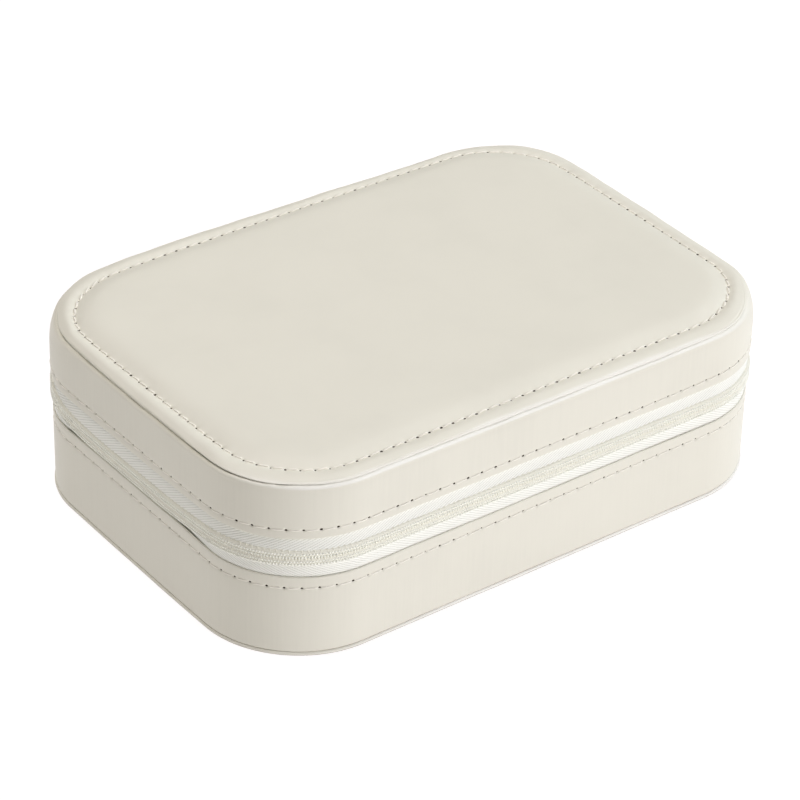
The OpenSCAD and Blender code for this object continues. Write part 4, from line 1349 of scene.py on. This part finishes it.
def build_pull():
    lo, hi = (np.array(v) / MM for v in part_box("zip_slider"))
    yc = (lo[1] + hi[1]) / 2
    pl, ph = (np.array(v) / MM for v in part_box("zip_pull"))
    px = (pl[0] + ph[0]) / 2
    zc = CHAIN
    bar = tubes("pull_bar", [np.array([[px, yc, z] for z in np.linspace(zc - 2.9, zc + 2.9, 9)])], 0.41, 20, GOLD)
    y_end = pl[1]
    rc = y_end + 3.6
    # plate with an eye at its root and a hole at its end
    outer = [(yc + 0.38, zc - 2.35), (yc + 0.38, zc - 2.75), (yc, zc - 2.9), (yc - 5, zc - 2.9), (yc - 8, zc - 2.9),
             (yc - 11, zc - 3.55)]
    tail = arc(rc, zc, 3.6, -90, -270, 25)
    outer += tail + [(yc - 11, zc + 3.55), (yc - 8, zc + 2.9), (yc - 5, zc + 2.9), (yc, zc + 2.9), (yc + 0.38, zc + 2.75),
                     (yc + 0.38, zc + 2.35)]
    inner = [(yc + 0.38, zc + 1.35), (yc - 0.6, zc + 1.35), (yc - 3.9, zc + 1.35), (yc - 4.6, zc + 1.1), (yc - 5.0, zc + 0.5),
             (yc - 5.0, zc - 0.5), (yc - 4.6, zc - 1.1), (yc - 3.9, zc - 1.35), (yc - 0.6, zc - 1.35), (yc + 0.38, zc - 1.35)]
    out = outer + inner
    hole = arc(rc, zc, 1.5, 0, 360, 33)[:-1]
    # plate face with the hole, filled in bmesh
    bm = bmesh.new()
    a = [bm.verts.new(Vector((px * MM, p * MM, q * MM))) for p, q in out]
    b = [bm.verts.new(Vector((px * MM, p * MM, q * MM))) for p, q in hole]
    edges = [bm.edges.new((a[i], a[(i + 1) % len(a)])) for i in range(len(a))]
    edges += [bm.edges.new((b[i], b[(i + 1) % len(b)])) for i in range(len(b))]
    bmesh.ops.triangle_fill(bm, use_beauty=True, use_dissolve=False, edges=edges)
    bmesh.ops.dissolve_limit(bm, angle_limit=0.01, verts=list(bm.verts), edges=list(bm.edges))
    me = bpy.data.meshes.new("pull_plate")
    bm.to_mesh(me)
    bm.free()
    ob = link("pull_plate", me, GOLD)
    so = ob.modifiers.new("thickness", "SOLIDIFY")
    so.thickness = 0.00082
    so.offset = 0
    be = ob.modifiers.new("edges", "BEVEL")
    be.width = 0.00024
    be.segments = 3
    be.limit_method = "ANGLE"
    be.angle_limit = math.radians(50)
    # a raised rib down the middle
    rib = slab_from("pull_rib", rounded_rect(rc + 4.6, yc - 7.0, zc - 1.15, zc + 1.15, 1.1), px - 0.62, px + 0.62, GOLD, 0.25, axis="x")
    for o in (bar, ob, rib):
        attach(o, "pull")
    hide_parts("zip_pull")


build_pull()

# ------------------------------------------------------------------ CAD nodes that stay: a finish each
FINISH = {
    "cream_leather": LEATHER, "grey_board": BOARD, "suede_lining": SUEDE, "ring_roll_velvet": VELVET, "zip_tape": TAPE_UP,
    "zip_coil": COIL, "foam": FOAM, "pocket_cloth": CLOTH, "tab_leather": TABLEATHER, "gold_metal": GOLD,
}
_slots = {r["node"]: r["material_slot"] for r in frame["record"]["subparts"]}
for _n, _o in frame["nodes"].items():
    _o.data.materials.clear()
    _o.data.materials.append(FINISH[_slots[_n]])

# ------------------------------------------------------------------ floor, light, camera
fm, fnt, fb = nodes_of("pale_floor")
fb.inputs["Base Color"].default_value = (0.2, 0.2, 0.2, 1)
fb.inputs["Roughness"].default_value = 0.8
fb.inputs["Specular IOR Level"].default_value = 0.1
fb.inputs["Emission Color"].default_value = (1, 0.972, 0.965, 1)
fb.inputs["Emission Strength"].default_value = 0.9
floor = mesh("floor", [(-3000, -3000, -0.02), (3000, -3000, -0.02), (3000, 3000, -0.02), (-3000, 3000, -0.02)], [[0, 1, 2, 3]], fm)

world = bpy.data.worlds.new("studio")
scene.world = world
world.use_nodes = True
bg = world.node_tree.nodes["Background"]
bg.inputs["Color"].default_value = (1, 1, 1, 1)
bg.inputs["Strength"].default_value = 0.0


def area(name, at, aim, size, power, colour=(1, 1, 1)):
    d = bpy.data.lights.new(name, "AREA")
    d.shape = "RECTANGLE"
    d.size, d.size_y = size
    d.energy = power
    d.color = colour
    o = bpy.data.objects.new(name, d)
    scene.collection.objects.link(o)
    o.location = at
    o.rotation_mode = "QUATERNION"
    o.rotation_quaternion = (Vector(aim) - Vector(at)).to_track_quat("-Z", "Y")
    return o


area("key", (0.69, -1.38, 0.75), (0, 0, 0.02), (0.8, 0.8), 16.1, (0.94, 0.942, 1.0))
area("over", (-0.2, 0.35, 1.4), (0, 0, 0.02), (1.2, 1.0), 16.5, (1.0, 0.96, 0.945))
area("right", (1.4, 0.2, 0.8), (0, 0, 0.02), (0.8, 0.8), 6.6, (0.8, 0.92, 0.99))
area("front", (-0.35, -1.5, 0.4), (0, 0, 0.02), (0.8, 0.8), 2.2, (1.0, 0.95, 0.945))

cam_data = bpy.data.cameras.new("camera")
cam = bpy.data.objects.new("camera", cam_data)
scene.collection.objects.link(cam)
scene.camera = cam
az, el, roll = math.radians(-37.47), math.radians(32.55), math.radians(1.52)
back = Vector((math.sin(az) * math.cos(el), -math.cos(az) * math.cos(el), math.sin(el)))
right = Vector((math.cos(az), math.sin(az), 0))
up = back.cross(right)
r2 = math.cos(roll) * right + math.sin(roll) * up
u2 = -math.sin(roll) * right + math.cos(roll) * up
m = Matrix((r2, u2, back)).transposed().to_4x4()
m.translation = Vector((0, 0, 0.025)) + back * 0.86698
cam.matrix_world = m
cam_data.sensor_width = 36
cam_data.lens = 36 * 3450.53 / 800
cam_data.shift_x = -2.69 / 800
cam_data.shift_y = -20.94 / 800
cam_data.clip_start, cam_data.clip_end = 0.01, 20

scene.view_settings.view_transform = "Standard"
scene.view_settings.look = "None"
